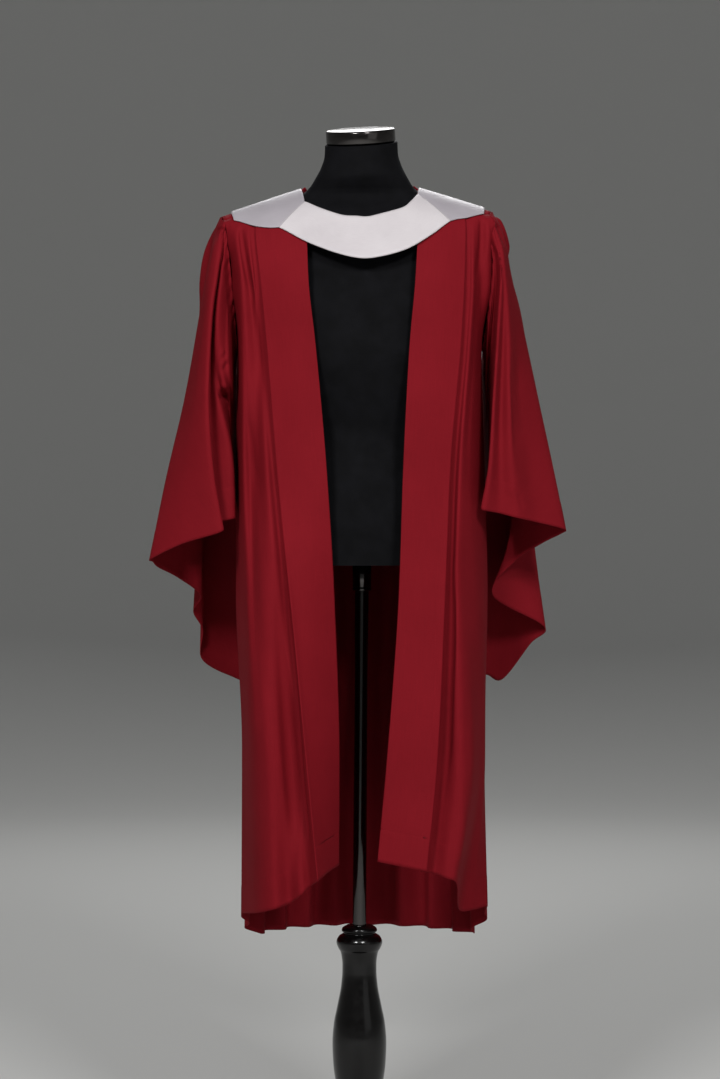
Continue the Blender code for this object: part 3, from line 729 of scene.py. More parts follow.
@dataclass(frozen=True)
class Jersey:
    """Black knit jersey drawn over the form: fine ribs of loops and a little dust."""

    slot: ClassVar[str] = "black_jersey"
    deep: tuple[int, int, int] = (9, 9, 11)
    dusty: tuple[int, int, int] = (16, 16, 19)
    wale: float = 0.0011

    def make(self) -> bpy.types.Material:
        """Make the material."""
        shader = Shader("jersey")
        wales = shader.waves(shader.mapped((1.0, 1.0, 1.0), "cloth"), self.wale, "X")
        courses = shader.waves(shader.mapped((1.0, 1.0, 1.0), "cloth"), self.wale * 0.8, "Y")
        loops = shader.maths("MULTIPLY", wales, courses)
        dust = shader.noise(shader.mapped((1.0, 1.0, 1.0)), 38.0, 5.0)
        shader.set(Base_Color=shader.ramp(dust, ((0.35, self.deep), (0.75, self.dusty))),
                   Normal=shader.bump(loops, 0.00012, 0.6), Roughness=0.82, Specular_IOR_Level=0.1,
                   Sheen_Weight=0.04, Sheen_Roughness=0.5, Sheen_Tint=linear((90, 90, 100)))
        return shader.material


@dataclass(frozen=True)
class Chrome:
    """Polished chrome with faint handling marks, its colour painted dark: a painted reflection of the dark
    room that it mirrors.
    """

    slot: ClassVar[str] = "polished_chrome"
    # Painted reflection: this is far darker than chrome's own colour and stands in for a dark room mirrored
    # in the metal.
    colour: tuple[int, int, int] = (84, 81, 80)

    def make(self) -> bpy.types.Material:
        """Make the material."""
        shader = Shader("chrome")
        smear = shader.noise(shader.mapped((1.0, 1.0, 0.3)), 26.0, 4.0)
        fine = shader.noise(shader.mapped((60.0, 60.0, 900.0)), 1.0, 2.0)
        rough = shader.node("ShaderNodeMapRange")
        rough.inputs["To Min"].default_value = 0.09
        rough.inputs["To Max"].default_value = 0.2
        shader.link(smear, rough.inputs["Value"])
        shader.set(Base_Color=linear(self.colour), Metallic=1.0, Roughness=rough.outputs["Result"],
                   Normal=shader.bump(fine, 0.00002, 0.25))
        return shader.material


@dataclass(frozen=True)
class GlossPaint:
    """Black paint on turned wood: deep gloss, a slight ripple of the brush and dulled high spots."""

    slot: ClassVar[str] = "black_gloss"
    colour: tuple[int, int, int] = (6, 5, 5)

    def make(self) -> bpy.types.Material:
        """Make the material."""
        shader = Shader("gloss_paint")
        flow = shader.noise(shader.mapped((1.0, 1.0, 0.35)), 22.0, 2.0)
        dust = shader.noise(shader.mapped((1.0, 1.0, 1.0)), 120.0, 5.0)
        rough = shader.node("ShaderNodeMapRange")
        rough.inputs["To Min"].default_value = 0.12
        rough.inputs["To Max"].default_value = 0.30
        shader.link(dust, rough.inputs["Value"])
        tone = shader.ramp(dust, ((0.3, self.colour), (0.8, tuple(part + 6 for part in self.colour))))
        shader.set(Base_Color=tone, Roughness=rough.outputs["Result"], Coat_Weight=0.2, Coat_Roughness=0.08,
                   Specular_IOR_Level=0.3,
                   Normal=shader.bump(flow, 0.0006, 0.25))
        return shader.material


@dataclass(frozen=True)
class StudioPaper:
    """The pale seamless paper of the floor and backdrop."""

    colour: tuple[int, int, int] = (206, 206, 204)

    def make(self) -> bpy.types.Material:
        """Make the material."""
        shader = Shader("studio_paper")
        shader.set(Base_Color=linear(self.colour), Roughness=0.95, Specular_IOR_Level=0.1)
        return shader.material


class Fold(NamedTuple):
    """A fold line down a front: its (x, y) at each level, and (x, y, z) at the hem."""

    name: str
    seam: tuple
    collar: tuple
    chest: tuple
    armpit: tuple
    waist: tuple
    hip: tuple
    knee: tuple
    hem: tuple

    def line(self, lift: float = 0.0) -> Points:
        """Run the fold line from the seam at the yoke down to the hem.

        Args:
            lift: how far its top lies over the gown's cloth.

        Returns:
            The line's points, in metres.
        """
        top = [raised(cell[0] * MM, cell[1] * MM, lift) for cell in (self.seam, self.collar)]
        cells = (self.chest, self.armpit, self.waist, self.hip, self.knee)
        levels = (CHEST, ARMPIT, WAIST, HIP, KNEE)
        rest = [np.array([*cell, level]) * MM for cell, level in zip(cells, levels)]
        return np.array(top + rest + [np.array(self.hem) * MM])


class BackLevel(NamedTuple):
    """A level of the back: its half widths, side and centre depth, and the depth of its flutes."""

    height: float
    left: float
    right: float
    side: float
    centre: float
    flute: float


class NeckSection(NamedTuple):
    """A section round the neck: (x, y) of the edge at the neck and of the outer edge."""

    name: str
    inner: tuple
    outer: tuple


class CapSection(NamedTuple):
    """A section of a collar's shoulder piece, from the mitre outward: (x, y) of each edge and bend."""

    name: str
    front: tuple
    bend: tuple
    ridge: tuple
    back: tuple


class SleeveFold(NamedTuple):
    """A fold line down a sleeve: the percentage of the way round the armhole where it starts, then its
    (x, y, z) at each place."""

    name: str
    start: float
    cap: tuple
    head: tuple
    arm: tuple
    upper: tuple
    elbow: tuple
    low: tuple
    hem: tuple


class FormLevel(NamedTuple):
    """A level of the dress form: its half width, front and back depth."""

    height: float
    half_width: float
    front: float
    back: float


class Turn(NamedTuple):
    """A place on a turned profile: its radius and height."""

    radius: float
    height: float


BAND_LEFT = (
    Fold("opening", (-88, -47), (-83, -86), (-79, -120), (-68, -128), (-51, -133), (-39, -118),
         (-31, -106), (-32, -96, 528)),
    Fold("middle", (-124, -46), (-124, -82), (-117, -112), (-107, -120), (-90, -130), (-74, -138),
         (-58, -138), (-49, -134, 521)),
    Fold("pleat crest", (-160, -43), (-164, -71), (-155, -97), (-145, -106), (-129, -120), (-108, -149),
         (-83, -166), (-64, -171, 512)),
)
BAND_RIGHT = (
    Fold("opening", (92, -44), (92, -80), (87, -118), (78, -128), (68, -134), (61, -135),
         (43, -135), (28, -135, 538)),
    Fold("middle", (128, -43), (130, -76), (126, -110), (118, -120), (105, -129), (97, -136),
         (82, -141), (66, -142, 531)),
    Fold("pleat crest", (164, -39), (168, -66), (165, -95), (159, -106), (142, -118), (133, -131),
         (121, -141), (104, -145, 524)),
)
FRONT_LEFT = (
    Fold("beside the pleat", (-166, -42), (-169, -66), (-161, -89), (-150, -93), (-135, -110),
         (-115, -138), (-93, -142), (-76, -138, 500)),
    Fold("inner ridge", (-174, -41), (-176, -66), (-166, -92), (-157, -84), (-145, -114), (-129, -144),
         (-103, -128), (-90, -146, 488)),
    Fold("front trough", (-183, -39), (-186, -58), (-173, -80), (-165, -83), (-158, -94), (-149, -134),
         (-124, -144), (-108, -126, 472)),
    Fold("side ridge", (-191, -37), (-194, -58), (-184, -84), (-178, -88), (-171, -80), (-163, -112),
         (-146, -140), (-132, -140, 465)),
    Fold("side trough", (-201, -34), (-203, -50), (-194, -64), (-187, -70), (-184, -76), (-177, -92),
         (-169, -96), (-161, -98, 453)),
    Fold("side", (-216, -32), (-212, -44), (-201, -47), (-194, -2), (-197, 4), (-197, 4), (-187, 4),
         (-188, 4, 438)),
)
FRONT_RIGHT = (
    Fold("beside the pleat", (170, -37), (172, -61), (171, -86), (165, -95), (149, -104), (140, -118),
         (130, -119), (114, -121, 518)),
    Fold("inner ridge", (177, -36), (179, -60), (178, -88), (172, -98), (157, -114), (151, -130),
         (152, -136), (135, -134, 512)),
    Fold("front ridge", (184, -35), (186, -55), (184, -76), (179, -82), (167, -100), (166, -112),
         (176, -118), (151, -122, 502)),
    Fold("side trough", (192, -33), (194, -50), (192, -62), (186, -66), (176, -84), (186, -80),
         (191, -62), (158, -36, 450)),
    Fold("side ridge", (199, -32), (204, -49), (203, -56), (193, -40), (190, -48), (198, -46),
         (199, -34), (182, -12, 446)),
    Fold("side", (206, -30), (213, -45), (209, -46), (195, -2), (200, 4), (205, 4),
         (200, 4), (205, 4, 450)),
)
BACK_LEVELS = (
    BackLevel(1420, 197, 196, 66, 136, 1),
    BackLevel(ARMPIT, 195, 195, 4.8, 142, 5),
    BackLevel(WAIST, 197, 200, 4.8, 154, 7),
    BackLevel(HIP, 197, 205, 4.8, 166, 8),
    BackLevel(KNEE, 187, 200, 4.8, 178, 9),
    BackLevel(392, 188, 205, 4.8, 190, 10),
)
YOKE_LEFT = (
    NeckSection("front seam", (-90, -43), (-216, -31.5)),
    NeckSection("shoulder", (-98, 5), (-221, 8)),
    NeckSection("armhole, behind", (-93, 38), (-208, 58)),
    NeckSection("back corner", (-80, 58), (-190, 106)),
    NeckSection("blade", (-45, 80), (-110, 125)),
)
YOKE_RIGHT = (
    NeckSection("front seam", (90, -43), (206, -29.5)),
    NeckSection("shoulder", (98, 5), (212, 10)),
    NeckSection("armhole, behind", (93, 38), (206, 60)),
    NeckSection("back corner", (80, 58), (190, 106)),
    NeckSection("blade", (45, 80), (110, 125)),
)
YOKE_CENTRE = NeckSection("centre back", (0, 87), (0, 130))
COLLAR_FRONT = (
    NeckSection("left mitre", (-86, -53), (-126, -78)),
    NeckSection("left", (-61, -70), (-86, -100)),
    NeckSection("left of centre", (-30, -84), (-43, -116)),
    NeckSection("centre", (-5, -88), (-4, -124)),
    NeckSection("right of centre", (20, -87), (30, -122)),
    NeckSection("right", (64, -71), (75, -110)),
    NeckSection("beside the mitre", (80, -57), (114, -90)),
    NeckSection("right mitre", (92, -38), (143, -68)),
)
COLLAR_BACK = (
    NeckSection("left seam", (-87, 41), (-202, 41.2)),
    NeckSection("left blade", (-76, 60), (-150, 82)),
    NeckSection("left of centre", (-42, 78), (-72, 101)),
    NeckSection("centre", (0, 84), (0, 106)),
    NeckSection("right of centre", (42, 78), (72, 101)),
    NeckSection("right blade", (76, 60), (150, 82)),
    NeckSection("right seam", (87, 41), (198, 41.2)),
)
COLLAR_SHOULDER_LEFT = (
    CapSection("mitre and neck", (-126, -78), (-86, -53), (-94, 5), (-90, 40)),
    CapSection("inner", (-143, -74), (-114, -46), (-119, 5), (-117, 40)),
    CapSection("outer", (-168, -64), (-152, -38), (-152, 6), (-150, 40)),
    CapSection("tip", (-198, -44), (-203, -21), (-204, 8), (-202, 38)),
)
COLLAR_SHOULDER_RIGHT = (
    CapSection("mitre and neck", (143, -68), (92, -38), (95, 5), (90, 40)),
    CapSection("inner", (155, -62), (117, -33), (119, 5), (117, 40)),
    CapSection("outer", (172, -54), (154, -28), (153, 6), (150, 40)),
    CapSection("tip", (197, -36), (199, -16), (199, 8), (198, 38)),
)
SLEEVE_LEFT = (
    SleeveFold("recess", 1, (-231, 2, 1531), (-238, 2, 1497), (-246, 0, 1450), (-252, -14, 1390),
               (-279, -10, 1256), (-306, -12, 1134), (-329, -12, 1001)),
    SleeveFold("outer edge", 4.5, (-226, -28, 1528), (-233, -46, 1495), (-242, -50, 1450),
               (-254, -38, 1390), (-277, -28, 1260), (-305, -28, 1135), (-331, -30, 1006)),
    SleeveFold("front", 8, (-222, -48, 1521), (-227, -66, 1488), (-234, -74, 1447), (-243, -82, 1387),
               (-257, -80, 1260), (-271, -75, 1140), (-279, -70, 1030)),
    SleeveFold("front crest", 10.5, (-216, -54, 1514), (-219, -70, 1486), (-224, -82, 1446),
               (-231, -96, 1385), (-236, -104, 1255), (-229, -104, 1143), (-214, -100, 1050)),
    SleeveFold("front trough", 13.5, (-214, -48, 1508), (-217, -56, 1482), (-223, -62, 1444),
               (-231, -66, 1385), (-238, -60, 1262), (-235, -62, 1155), (-229, -66, 1062)),
    SleeveFold("second ridge", 17, (-211, -55, 1492), (-214, -66, 1474), (-218, -76, 1440),
               (-224, -84, 1372), (-226, -70, 1285), (-203, -68, 1175), (-198, -60, 1070)),
    SleeveFold("second layer", 23, (-208, -53, 1459), (-210, -60, 1444), (-211, -67, 1412),
               (-213, -75, 1290), (-211, -28, 1256), (-203, -20, 1165), (-200, -34, 1074)),
    SleeveFold("inner front", 34, (-203, -42, 1398), (-205, -48, 1382), (-204, -56, 1350),
               (-203, -61, 1290), (-205, -18, 1254), (-203, -12, 1165), (-201, -20, 1078)),
    SleeveFold("armpit", 48, (-197, 1, 1330), (-198, 4, 1319), (-199, 8, 1306), (-199, 12, 1290),
               (-199, 24, 1250), (-200, 32, 1170), (-201, 30, 1095)),
    SleeveFold("inner back", 60, (-201, 41, 1369), (-203, 38, 1356), (-202, 43, 1336), (-197, 48, 1314),
               (-194, 60, 1250), (-193, 68, 1150), (-196, 68, 1060)),
    SleeveFold("inner blade", 65, (-204, 59, 1395), (-209, 60, 1386), (-207, 66, 1358), (-198, 72, 1328),
               (-189, 90, 1240), (-187, 104, 1110), (-190, 114, 980)),
    SleeveFold("low inner back", 70, (-204, 71, 1424), (-209, 76, 1420), (-208, 84, 1385),
               (-200, 92, 1348), (-194, 114, 1230), (-188, 136, 1060), (-182, 160, 890)),
    SleeveFold("back crest", 75, (-207, 79, 1456), (-210, 90, 1455), (-212, 98, 1414), (-211, 106, 1370),
               (-209, 130, 1220), (-198, 160, 1020), (-172, 201, 800)),
    SleeveFold("back", 80, (-211, 80, 1484), (-215, 94, 1482), (-220, 104, 1435), (-222, 114, 1385),
               (-228, 138, 1225), (-230, 163, 1010), (-216, 194, 808)),
    SleeveFold("outer back crest", 85, (-216, 75, 1507), (-223, 88, 1497), (-232, 96, 1446),
               (-237, 104, 1390), (-249, 127, 1225), (-257, 147, 1030), (-262, 163, 838)),
    SleeveFold("outer notch", 87.3, (-224, 76, 1517), (-228, 80, 1502), (-240, 88, 1446), (-243, 93, 1390),
               (-254, 112, 1230), (-259, 128, 1060), (-259, 138, 886)),
    SleeveFold("outer trough", 89, (-221, 64, 1525), (-230, 72, 1511), (-241, 77, 1453),
               (-247, 82, 1390), (-257, 99, 1235), (-264, 114, 1080), (-273, 117, 918)),
    SleeveFold("inner tuck", 92.5, (-227, 49, 1535), (-237, 52, 1515), (-247, 54, 1455),
               (-253, 56, 1390), (-254, 63, 1240), (-254, 72, 1110), (-259, 86, 945)),
    SleeveFold("under the tip", 94.5, (-232, 40, 1529), (-248, 42, 1494), (-257, 44, 1450),
               (-258, 32, 1390), (-268, 29, 1240), (-280, 32, 1120), (-293, 42, 975)),
    SleeveFold("behind the tip", 97, (-235, 22, 1533), (-250, 22, 1497), (-256, 20, 1452),
               (-256, 6, 1392), (-279, 3, 1250), (-303, 0, 1130), (-322, 6, 992)),
)
SLEEVE_RIGHT = (
    SleeveFold("recess", 1, (221, 2, 1541), (230, 4, 1508), (238, 0, 1466), (258, -8, 1390),
               (287, -6, 1250), (309, -8, 1140), (322, -8, 1046)),
    SleeveFold("outer edge", 4.5, (222, -14, 1543), (233, -30, 1506), (240, -34, 1462), (256, -24, 1390),
               (284, -22, 1250), (307, -22, 1140), (327, -20, 1053)),
    SleeveFold("front", 8, (218, -34, 1537), (229, -52, 1498), (235, -60, 1456), (244, -58, 1390),
               (257, -54, 1255), (268, -54, 1150), (282, -50, 1064)),
    SleeveFold("front ridge", 11, (215, -46, 1533), (226, -64, 1494), (230, -76, 1450), (234, -84, 1385),
               (238, -88, 1255), (242, -86, 1150), (248, -76, 1071)),
    SleeveFold("front trough", 13, (213, -50, 1529), (223, -70, 1488), (226, -80, 1446),
               (226, -84, 1388), (222, -78, 1260), (221, -80, 1150), (221, -76, 1078)),
    SleeveFold("front crest", 15, (211, -52, 1523), (219, -72, 1484), (221, -86, 1443), (217, -94, 1385),
               (209, -97, 1255), (202, -96, 1150), (191, -94, 1084)),
    SleeveFold("deep fold", 18, (209, -48, 1508), (215, -56, 1478), (217, -56, 1443), (214, -42, 1385),
               (213, -14, 1280), (210, -20, 1160), (204, -50, 1092)),
    SleeveFold("gathers", 23, (211, -55, 1474), (212, -57, 1456), (211, -52, 1424), (207, -32, 1360),
               (207, 10, 1300), (208, 8, 1170), (208, -20, 1099)),
    SleeveFold("inner front", 34, (205, -41, 1402), (205, -41, 1386), (204, -35, 1362), (203, -18, 1328),
               (206, 18, 1272), (207, 20, 1172), (209, 6, 1101)),
    SleeveFold("armpit", 48, (199, 2, 1332), (200, 4, 1322), (200, 7, 1311), (201, 11, 1298),
               (204, 26, 1250), (207, 32, 1170), (208, 28, 1105)),
    SleeveFold("inner back", 60, (202, 41, 1368), (205, 38, 1356), (204, 43, 1336), (199, 48, 1314),
               (200, 60, 1250), (202, 68, 1150), (204, 68, 1060)),
    SleeveFold("inner blade", 64.5, (204, 58, 1393), (210, 60, 1386), (208, 66, 1358), (200, 72, 1328),
               (197, 90, 1240), (197, 104, 1110), (198, 112, 980)),
    SleeveFold("low inner back", 69, (205, 71, 1421), (211, 76, 1420), (211, 84, 1385), (203, 92, 1348),
               (200, 114, 1230), (198, 136, 1060), (194, 156, 890)),
    SleeveFold("back crest", 73.5, (208, 79, 1452), (213, 90, 1455), (215, 99, 1414), (214, 108, 1370),
               (212, 130, 1220), (206, 160, 1020), (186, 197, 815)),
    SleeveFold("back", 77.5, (211, 81, 1476), (217, 94, 1480), (222, 104, 1434), (224, 114, 1385),
               (230, 138, 1225), (234, 162, 1010), (214, 197, 810)),
    SleeveFold("low back", 81, (214, 77, 1493), (222, 88, 1493), (230, 97, 1444), (234, 107, 1390),
               (247, 131, 1225), (256, 152, 1030), (240, 190, 803)),
    SleeveFold("low outer back", 85, (217, 72, 1509), (227, 80, 1500), (235, 88, 1447), (240, 96, 1390),
               (257, 121, 1228), (273, 140, 1040), (284, 160, 863)),
    SleeveFold("outer back crest", 89, (221, 63, 1524), (232, 66, 1505), (241, 73, 1450),
               (246, 80, 1390), (264, 103, 1230), (284, 118, 1060), (305, 130, 893)),
    SleeveFold("inner tuck", 92.5, (226, 49, 1535), (236, 46, 1507), (245, 50, 1451), (249, 54, 1390),
               (240, 64, 1235), (249, 68, 1040), (217, 72, 946)),
    SleeveFold("under the tip", 94.5, (226, 32, 1545), (239, 34, 1507), (240, 34, 1472), (254, 30, 1390),
               (260, 34, 1245), (256, 42, 1120), (250, 50, 1000)),
    SleeveFold("behind the tip", 97, (228, 16, 1549), (240.5, 16, 1511), (239, 12, 1476), (260, 6, 1390),
               (276, 8, 1248), (288, 8, 1135), (292, 14, 1030)),
)

FORM_LEVELS = (
    FormLevel(996, 155, -100, 118),
    FormLevel(1060, 163, -104, 124),
    FormLevel(1120, 152, -98, 108),
    FormLevel(1200, 128, -88, 82),
    FormLevel(1270, 138, -107, 86),
    FormLevel(1330, 150, -121, 94),
    FormLevel(1400, 161, -112, 98),
    FormLevel(1460, 168, -94, 96),
    FormLevel(1510, 172, -80, 90),
    FormLevel(1540, 168, -70, 78),
    FormLevel(1561, 156, -55, 66),
    FormLevel(1575.6, 138, -41, 54),
    FormLevel(1584.6, 111, -38, 50),
    FormLevel(1592.6, 92, -41, 51),
    FormLevel(1602, 82, -48, 53),
    FormLevel(1617, 73, -55, 57),
    FormLevel(1635, 64, -56, 57),
    FormLevel(1652, 59, -57, 57),
    FormLevel(1671, 58, -57, 57),
)
POST_PROFILE = (
    Turn(0, 420), Turn(20, 420), Turn(27.5, 415), Turn(28.5, 411), Turn(25.5, 407.5), Turn(33, 402),
    Turn(36.8, 393), Turn(33.5, 383), Turn(30, 377), Turn(27.3, 358), Turn(27.4, 345), Turn(29.4, 322),
    Turn(35.5, 290), Turn(41, 262), Turn(43.2, 232), Turn(42, 200), Turn(37.5, 166), Turn(29.5, 130),
    Turn(23, 100), Turn(21, 82), Turn(23.5, 70), Turn(34, 64), Turn(37, 58), Turn(34, 50.3), Turn(0, 50.3),
)
BASE_PROFILE = (
    Turn(0, 50), Turn(38, 50), Turn(44, 46), Turn(62, 40), Turn(104, 32), Turn(146, 25), Turn(163, 20),
    Turn(170, 15), Turn(172, 9), Turn(171, 2), Turn(169, 0), Turn(0, 0),
)


# Creases and gathers, listed one by one; paths are (x, z) in millimetres
BAND_LEFT_CREASES: tuple[Crease, ...] = (
    Crease(((-124, 1098), (-105, 912), (-95, 787), (-85, 662), (-75, 556)), 6.0, 2.0, fades=(0.3, 0.1)),
)
BAND_RIGHT_CREASES: tuple[Crease, ...] = (
    Crease(((139, 1130), (136, 1028), (131, 943), (125, 787), (114, 631), (101, 524)), 5.0, 1.4,
           fades=(0.3, 0.1)),
)
FRONT_LEFT_CREASES: tuple[Crease, ...] = (
    Crease(((-188, 1528), (-184, 1492), (-177, 1459), (-169, 1427), (-160, 1392)), 4.5, -3.4,
           fades=(0.06, 0.35)),
    Crease(((-177, 1238), (-168, 1165), (-157, 1092)), 7.0, -2.4),
    Crease(((-206, 1500), (-203, 1470), (-198, 1430)), 4.0, -2.0),
    Crease(((-144, 1254), (-128, 1098), (-110, 912), (-99, 787), (-90, 662), (-79, 553)), 5.0, -7.0,
           fades=(0.5, 0.06)),
    Crease(((-137, 1060), (-124, 912), (-115, 787), (-107, 662), (-95, 556)), 10.0, -5.5, fades=(0.35, 0.12)),
    Crease(((-176, 1000), (-170, 830), (-168, 640)), 14.0, 2.6),
)
FRONT_RIGHT_CREASES: tuple[Crease, ...] = (
    Crease(((194, 1545), (193, 1508), (189, 1470), (183, 1438)), 5.0, -3.6, fades=(0.06, 0.4)),
    Crease(((203, 1540), (203, 1505), (199, 1465)), 4.0, 2.0),
    Crease(((149, 1239), (144, 1130), (141, 1028), (136, 943), (130, 787), (119, 631), (105, 519)), 6.0, -5.0,
           fades=(0.3, 0.08)),
    Crease(((146, 1000), (143, 912), (140, 820), (136, 720), (128, 610)), 7.0, -6.5, fades=(0.3, 0.3)),
    Crease(((153, 880), (156, 700), (159, 520)), 9.0, 3.0, fades=(0.3, 0.1)),
)
SLEEVE_LEFT_CREASES: tuple[Crease, ...] = (
    Crease(((-218, 1533), (-219, 1518), (-221, 1502)), 3.0, -4.0, fades=(0.05, 0.6)),
    Crease(((-224, 1533), (-227, 1518), (-230, 1500)), 3.4, -4.5, fades=(0.05, 0.6)),
    Crease(((-213, 1530), (-214, 1516), (-216, 1498)), 2.6, -3.0, fades=(0.05, 0.6)),
    Crease(((-211, 1336), (-220, 1326), (-230, 1315)), 3.0, 2.0),
    Crease(((-206, 1326), (-215, 1315), (-225, 1306)), 3.0, 2.0),
    Crease(((-204, 1318), (-211, 1307), (-219, 1299)), 3.0, -2.0),
    Crease(((-224, 1272), (-215, 1279), (-202, 1279)), 4.5, 3.5),
    Crease(((-222, 1259), (-214, 1263), (-202, 1263)), 5.0, -5.0),
)
SLEEVE_RIGHT_CREASES: tuple[Crease, ...] = (
    Crease(((189, 1376), (197, 1371), (206, 1374)), 2.4, -2.2, fades=(0.2, 0.3)),
    Crease(((189, 1365), (196, 1361), (204, 1364)), 2.2, -2.0, fades=(0.2, 0.3)),
    Crease(((190, 1354), (197, 1350), (204, 1353)), 2.4, -2.2, fades=(0.2, 0.3)),
    Crease(((243, 1348), (246, 1240), (247, 1120)), 10.0, -4.5, fades=(0.3, 0.4)),
    Crease(((237, 1112), (241, 1092), (240, 1072)), 3.5, -2.2),
    Crease(((247, 1114), (253, 1094), (258, 1076)), 4.0, -2.0),
    Crease(((207, 1546), (212, 1529), (218, 1507), (221, 1479), (222, 1444), (220, 1425)), 3.2, -3.6,
           fades=(0.05, 0.35)),
    Crease(((217, 1537), (226, 1514), (231, 1498)), 2.8, -3.4, fades=(0.1, 0.4)),
)
BACK_RIPPLES: tuple[Ripple, ...] = (Ripple(34, 2.2, 0.0, 0.24, 0.9, 0.4),)
SLEEVE_RIPPLES: tuple[Ripple, ...] = (Ripple(23, 0.9, 0.0, 0.09, 0.8, 1.3),)


def loft(lines: Sequence[Points], across: int, shares: Points) -> Points:
    """Make a grid over a panel's fold lines, smoothed down each line and then across.

    Args:
        lines: the fold lines, each from the top down.
        across: how many columns the grid has.
        shares: the rows, as shares of each line's length.

    Returns:
        The grid of points.
    """
    columns = np.stack([resample(line, shares, Hang.HUNG) for line in lines], axis=1)
    even = np.linspace(0, 1, across)
    return np.stack([resample(row, even) for row in columns])


def neck_grid(sections: Sequence[NeckSection], across: int, down: int, lift: float,
              stand: float = 0.0) -> Points:
    """Make a grid round the neck, raised onto the shoulders.

    Args:
        sections: the piece's sections, from its left end to its right one.
        across: how many columns the grid has.
        down: how many rows it has.
        lift: height over the gown's cloth.
        stand: how far the edge at the neck stands up.

    Returns:
        The grid of points.
    """
    even = np.linspace(0, 1, across)
    inner = resample(np.array([(*row.inner, 0.0) for row in sections]) * MM, even)
    outer = resample(np.array([(*row.outer, 0.0) for row in sections]) * MM, even)
    share = np.linspace(0, 1, down)[:, None, None]
    grid = shoulder(inner + (outer - inner) * share, lift)
    grid[..., 2] += stand * (1 - share[..., 0]) ** 3
    return grid


def dress(sheet: Sheet, material: bpy.types.Material) -> None:
    """Args:
        sheet: the piece, named for the node that it stands for.
        material: its finish.
    """
    node = sheet.name
    sheet.name = f"{node}_cloth"
    item = sheet.build()
    item.data.materials.append(material)
    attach(item, BODY)
    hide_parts(node)
    flat, area = sheet.cut(), sheet.area()
    LOG.info("%s: %d faces, cut %s, %.3f square metres", item.name, len(item.data.polygons), flat, area)


